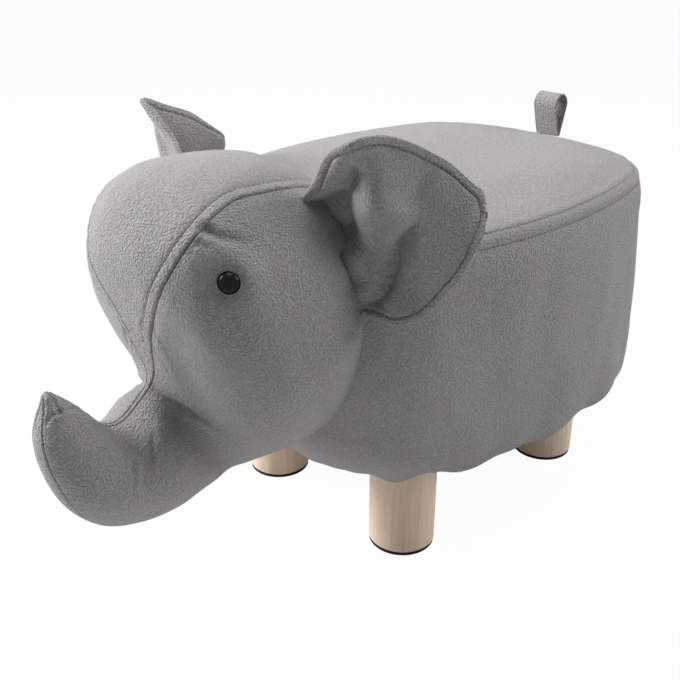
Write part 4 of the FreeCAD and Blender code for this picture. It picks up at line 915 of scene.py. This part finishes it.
EAR_LENGTH = 101.0
EAR_HEIGHT = 122.0
EAR_ROOT = np.array((83.25, -177.92 + SEAT_Y, 273.81))
EAR_SWEEP = math.radians(45.0)
EAR_LIFT = math.radians(21.0)
LEFT_EAR_SHARES = (
    (-0.20, 0.27, -0.39, -0.02, 0.05, 0.04),
    (0.02, 0.40, -0.41, 0.04, 0.09, 0.06),
    (0.17, 0.53, -0.46, 0.17, 0.19, 0.10),
    (0.33, 0.57, -0.47, 0.31, 0.21, 0.12),
    (0.55, 0.51, -0.40, 0.19, 0.17, 0.11),
    (0.74, 0.34, -0.32, 0.05, 0.12, 0.09),
    (0.86, 0.18, -0.23, -0.05, 0.07, 0.05),
    (0.94, 0.00, -0.12, -0.10, -0.04, 0.01),
)
RIGHT_EAR_SHARES = (
    (-0.20, 0.36, -0.39, 0.00, 0.08, 0.04),
    (0.02, 0.42, -0.41, 0.08, 0.16, 0.10),
    (0.17, 0.48, -0.43, 0.20, 0.35, 0.12),
    (0.33, 0.51, -0.43, 0.34, 0.40, 0.14),
    (0.55, 0.36, -0.39, 0.23, 0.30, 0.16),
    (0.76, 0.17, -0.33, 0.06, 0.14, 0.13),
    (0.91, -0.01, -0.26, -0.07, -0.06, 0.08),
    (0.98, -0.10, -0.18, -0.14, -0.12, 0.01),
)
EAR_ROWS = 150
EAR_COLUMNS = 168
EAR_THICK = 6.6
RIM_BAND = 5.6
RIM_ROLL = 2.3


def ear_turned(points, way=1.0):
    """From an ear's own frame into the model's: lifted about its back axis, swept about up."""
    x, y, z = np.moveaxis(points, -1, 0)
    lifted_x = x * math.cos(EAR_LIFT) - z * math.sin(EAR_LIFT)
    lifted_z = x * math.sin(EAR_LIFT) + z * math.cos(EAR_LIFT)
    out = np.stack((lifted_x * math.cos(EAR_SWEEP) - y * math.sin(EAR_SWEEP),
                    lifted_x * math.sin(EAR_SWEEP) + y * math.cos(EAR_SWEEP), lifted_z), axis=-1)
    return (out + EAR_ROOT) * (way, 1.0, 1.0)


def ear_grid(shares):
    """An ear's middle surface in its own frame, cupped between its top and bottom edges."""
    table = np.array(shares)
    marks = table[:, 0] * EAR_LENGTH
    at = marks[0] + (marks[-1] - marks[0]) * (1 - (1 - np.linspace(0, 1, EAR_ROWS)) ** 1.25)
    rows = smooth(marks, table, at)
    top = pair(-rows[:, 3] * EAR_LENGTH, rows[:, 1] * EAR_HEIGHT)
    low = pair(-rows[:, 4] * EAR_LENGTH, rows[:, 2] * EAR_HEIGHT)
    deep = (top + low) / 2 + pair(rows[:, 5] * EAR_LENGTH, np.zeros(EAR_ROWS))
    even = np.linspace(0.0, 1.0, EAR_COLUMNS)
    flat, _ = arcs_through(top, deep, low, even - 0.10 * np.sin(FULL_TURN * even) / math.pi)
    return np.stack((np.broadcast_to(at[:, None], flat.shape[:2]), flat[..., 0] + EAR_THICK / 2,
                     flat[..., 1]), axis=-1)


# Folds of the ears, in the ear's own frame: out from the root, then up. Below nought they rise.
LEFT_EAR_FOLDS = (
    (((34, 56), (26, 44), (18, 32)), 11.0, 8.0, (0.2, 0.4), 0.1),
    (((25, 63), (17, 47)), -2.5, 4.0, (0.5, 0.5), 0.0),
    (((27, 32), (38, 21), (48, 7)), -3.6, 7.0, (0.4, 0.7), 0.0),
    (((66, 34), (58, 12)), 1.6, 6.0, (0.3, 0.3), 0.2),
)
RIGHT_EAR_FOLDS = (
    (((36, 50), (24, 30), (12, 14)), 4.0, 7.0, (0.3, 0.4), 0.2),
    (((58, -4), (40, -26), (22, -38)), 3.0, 7.0, (0.3, 0.4), 0.2),
)
# A sharp edge over a hollow that runs down from the middle of the left ear.
HOLLOW_UP = (-42.0, -33.0, -20.0, 1.0)
HOLLOW_OUT = (14.0, 26.0, 37.0, 48.0)
HOLLOW_DEPTH = 8.5
ROOT_PUSH = 15.0
# Each ear: its sections, its folds, how far its rim curls up, its seed and its side
EARS = {
    "left": (LEFT_EAR_SHARES, LEFT_EAR_FOLDS, 6.5, 41, 1.0),
    "right": (RIGHT_EAR_SHARES, RIGHT_EAR_FOLDS, 1.5, 51, -1.0),
}


def ear_piece(name, shares, folds, curl_height, seed, way):
    """An ear of two skins, gathered, folded and rolled at its rim, and its rows of stitches."""
    grid = ear_grid(shares)
    edge = np.concatenate((grid[:, 0], grid[-1], grid[::-1, -1]))[::2]
    flat = grid.reshape(-1, 3)
    near = np.full(len(flat), 1e9)
    for spot in edge:
        near = np.minimum(near, ((flat - spot) ** 2).sum(axis=1))
    gap = np.sqrt(near).reshape(grid.shape[:2])
    out, high = grid[..., 0], grid[..., 2]
    lift = sum(fold(pair(out, high), *facts) for facts in folds)
    if way > 0:
        beside = 0.85 * (out - np.interp(high, HOLLOW_UP, HOLLOW_OUT))
        hollow = np.where(beside < 0, bump(beside, 0.0, 15.0), bump(beside, 0.0, 3.5))
        lift -= HOLLOW_DEPTH * hollow * fade(high, -54.0, -34.0) * (1 - fade(high, -6.0, 10.0))
        # Under its upper corner the root lies behind the cheek.
        lift -= (ROOT_PUSH * (1 - fade(out, 8.0, 25.0)) * (1 - fade(high, 32.0, 44.0))
                 * fade(high, -8.0, 12.0))
    # The sewn root gathers it, and the rim waves a little.
    lift += 1.7 * bump(np.maximum(out - 2.0, 0.0), 0.0, 9.0) * ripple(high, out * 0.25, 17.0, seed)
    wave = swell(grid, 40.0, seed + 1) * fade(out, 5.0, 40.0)
    # The lower rim curls forward, so that the cup's floor faces up.
    curl = bump(gap, 0.0, 20.0) * (1 - fade(high, -5.0, 30.0)) * fade(out, 10.0, 36.0)
    move = lift * fade(gap, 0.0, 14.0) + curl_height * curl + 0.8 * wave
    grid = grid + normals_of(grid, False) * move[..., None]
    normal = normals_of(grid, False)
    # Each skin rises from a rolled rim over a groove of stitches to the wadding.
    thick = RIM_ROLL * np.sqrt(1 - (1 - np.clip(gap / RIM_ROLL, 0.0, 1.0)) ** 2)
    thick -= 1.4 * bump(gap, RIM_BAND, 0.95)
    thick += 1.0 * fade(gap, 7.0, 24.0)
    thick += 0.18 * bump(gap, RIM_BAND, 4.0) * swell(grid, 7.0, seed + 2)
    thick = np.maximum(thick, 0.0)
    thick[:, [0, -1]] = 0.0
    thick[-1] = 0.0
    skins = [ear_turned(grid + side * normal * thick[..., None], way) for side in (1.0, -1.0)]
    points = np.concatenate(skins).reshape(-1, 3) * MM
    keep = ~inside_seat(points / MM, 1.0)
    faces = []
    for start, flip in ((0, way < 0), (len(flat), way > 0)):
        faces += grid_faces(*grid.shape[:2], keep=keep[start:start + len(flat)], start=start, flip=flip)
    piece = tidy_mesh(link_mesh(name, points, faces, PLUSH))
    # The stitches follow the points in the groove that lie nearest to those of the rim.
    band = np.flatnonzero(np.abs(gap.reshape(-1) - RIM_BAND) < 0.45)
    chosen = np.array([band[((flat[band] - spot) ** 2).sum(axis=1).argmin()] for spot in edge])
    chosen = chosen[np.append(True, chosen[1:] != chosen[:-1])]
    lines = []
    for skin, side in zip(skins, (1.0, -1.0)):
        outward = side * (ear_turned(normal.reshape(-1, 3)[chosen], way) - EAR_ROOT * (way, 1.0, 1.0))
        lines.append((eased(skin.reshape(-1, 3)[chosen], 4), outward, flat[chosen, 0] > 6.0))
    return piece, stitch_piece(name + "_stitches", lines)


ears, ear_stitches = [], []
for side, facts in EARS.items():
    name = "ear_" + side
    ear, stitches = ear_piece(name, *facts)
    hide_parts(name + "_front", name + "_wadding", name + "_back")
    for piece in (ear, stitches):
        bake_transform(piece)
    ears.append(ear)
    ear_stitches.append(stitches)


# Tail loop: one strap folded back on itself

TAIL_WIDTH = 24.0
TAIL_HEIGHT = 39.0
TAIL_RADIUS = 10.0
TAIL_THICK = 1.6
TAIL_FOOT = SEAM + TAIL_THICK + 0.8
TAIL_Y = SEAT_HALF_LENGTH - 13.0 + SEAT_Y
TAIL_PLY = 24
TAIL_BEND = 60
TAIL_RING = 44


def tail_line():
    """The strap's middle line as (y, z) points, up one ply, over and down the other."""
    radius = TAIL_RADIUS - TAIL_THICK / 2
    top = TAIL_HEIGHT - TAIL_RADIUS
    foot = TAIL_THICK / 2
    away = math.atan2(-top, foot)
    reach = math.hypot(foot, top)
    touch = away + math.acos(radius / reach)
    angles = np.linspace(touch, math.pi - touch, TAIL_BEND)
    bend = (0.0, top) + radius * pair(np.cos(angles), np.sin(angles))
    start = np.array((foot, 0.0))
    ply = start + (bend[0] - start) * np.linspace(0, 1, TAIL_PLY, endpoint=False)[:, None]
    return np.concatenate((ply, bend, ply[::-1] * (-1, 1)))


line = tail_line()
run = path_length(line)
line_way = np.gradient(line, axis=0)
line_normal = unit(pair(line_way[:, 1], -line_way[:, 0]))
turns = np.linspace(0, FULL_TURN, TAIL_RING, endpoint=False)
across = np.sign(np.cos(turns)) * np.abs(np.cos(turns)) ** 0.35 * TAIL_WIDTH / 2
thick = np.sign(np.sin(turns)) * np.abs(np.sin(turns)) ** 0.6 * TAIL_THICK / 2
edge = np.abs(across) / (TAIL_WIDTH / 2)
thick = thick * (1.0 + 0.25 * bump(edge, 0.93, 0.06) - 0.35 * bump(edge, 0.80, 0.035))
off = thick + 0.35 * np.sin(run / 9.0)[:, None] * (1 - edge)
strap = np.stack((across * (1.0 + 0.02 * np.sin(run / 11.0 + 1.0))[:, None],
                  TAIL_Y + line[:, :1] + line_normal[:, :1] * off,
                  TAIL_FOOT + line[:, 1:] + line_normal[:, 1:] * off), axis=-1)
tail = grid_piece("tail_strap", strap, PLUSH, wrap=True)
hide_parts("tail_loop")


# Dust cover under the seat, a little slack, with a hole for each leg

DUST_GAP = 0.3
DUST_THICK = 0.8
DUST_Z = BASE - COVER - DUST_GAP - DUST_THICK
DUST_INSET = 63.0
DUST_ROWS = 40
LEG_X = 77.0
LEG_Y = 100.0
HOLE_RADIUS = 27.6
HOLE_CUT = 22.0
HOLE_REACH = 30.5

dust_middle = np.array((0.0, SEAT_Y, DUST_Z))
dust = dust_middle + ((outline(DUST_Z, DUST_INSET, DUST_INSET, 0.0) - dust_middle)[None]
                      * np.linspace(1.0, 0.0, DUST_ROWS)[:, None, None])
dust[:, :, 2] += 0.4 + 0.35 * swell(dust, 30.0, 61) - 1.5 * fade(path_length(dust), 0.0, 70.0)
dust_keep = np.ones(dust.shape[:2], bool)
for x, y in ((-1, -1), (-1, 1), (1, -1), (1, 1)):
    spot = np.array((x * LEG_X, y * LEG_Y + SEAT_Y))
    away = dust[:, :, :2] - spot
    reach = np.linalg.norm(away, axis=-1)
    dust_keep &= reach > HOLE_CUT
    # The points next to a hole move onto its edge.
    at_edge = ((reach < HOLE_REACH) & (reach > HOLE_CUT))[..., None]
    dust[:, :, :2] = np.where(at_edge, spot + unit(away) * HOLE_RADIUS, dust[:, :, :2])
dust_piece = grid_piece("dust_lining", dust, LINING, wrap=True, keep=dust_keep)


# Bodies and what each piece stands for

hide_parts("side_cover", "side_foam")
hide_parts("top_cover", "seat_foam")
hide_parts("dust_cover")
for piece in (side_piece, top_piece, dust_piece, rim_stitches, band_stitches, *head_pieces):
    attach(piece, "stool")
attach(tail, "tail")


# Floor, backdrop and light

FLOOR_GREY = 0.80
WHITE_SHARE = 0.96
AMBIENT = 0.03
FLOOR_HALF = 6.0


def seen_rays(tree):
    """One for rays that show in the picture: from the camera, by a mirror or through glass."""
    rays = tree.nodes.new("ShaderNodeLightPath").outputs
    return maths("MAXIMUM", rays["Is Camera Ray"],
                 maths("MAXIMUM", rays["Is Glossy Ray"], rays["Is Transmission Ray"]))


def white_when_seen(kind, share, plain, surface):
    """Mixes a share of plain white into a plain shader, and gives it to an output's surface."""
    tree = surface.id_data
    white = tree.nodes.new("ShaderNode" + kind)
    feed(white, Color=(1.0, 1.0, 1.0, 1.0), Strength=1.0)
    blend = tree.nodes.new("ShaderNodeMixShader")
    for output, socket in zip((share, plain, white.outputs[0]), blend.inputs):
        join(output, socket)
    join(blend.outputs["Shader"], surface)


# The floor is white to the camera with the object's shadow on it, and plain pale to other rays.
stage = bpy.data.materials.new("stage_white")
stage.use_nodes = True
nodes = stage.node_tree.nodes
feed(nodes["Principled BSDF"], Base_Color=(FLOOR_GREY, FLOOR_GREY, FLOOR_GREY, 1.0), Roughness=0.9,
     Specular_IOR_Level=0.0)
white_when_seen("Emission", maths("MULTIPLY", seen_rays(stage.node_tree), WHITE_SHARE),
                nodes["Principled BSDF"].outputs["BSDF"], nodes["Material Output"].inputs["Surface"])
corners = [(x * FLOOR_HALF, y * FLOOR_HALF, 0) for x, y in ((-1, -1), (1, -1), (1, 1), (-1, 1))]
floor = link_mesh("stage_floor", corners, [(0, 1, 2, 3)], stage)

scene.world = bpy.data.worlds.new("studio")
scene.world.use_nodes = True
nodes = scene.world.node_tree.nodes
feed(nodes["Background"], Color=(1.0, 1.0, 1.0, 1.0), Strength=AMBIENT)
white_when_seen("Background", seen_rays(scene.world.node_tree), nodes["Background"].outputs[0],
                nodes["World Output"].inputs["Surface"])

# Lamps: place, target, power and width
LAMPS = {
    "overhead": ((-0.1, 0.1, 1.75), (0.0, 0.0, 0.2), 14.0, 1.2),
    "key": ((-1.2, -0.9, 0.9), (0.0, -0.1, 0.2), 33.0, 0.9),
    "rear": ((1.1, 1.2, 1.2), (0.0, 0.1, 0.2), 16.0, 1.2),
}
for name, (place, target, power, wide) in LAMPS.items():
    lamp = bpy.data.lights.new(name, "AREA")
    lamp.shape = "DISK"
    lamp.size = wide
    lamp.energy = power
    aim(bpy.data.objects.new(name, lamp), place, target)

scene.view_settings.view_transform = "Standard"
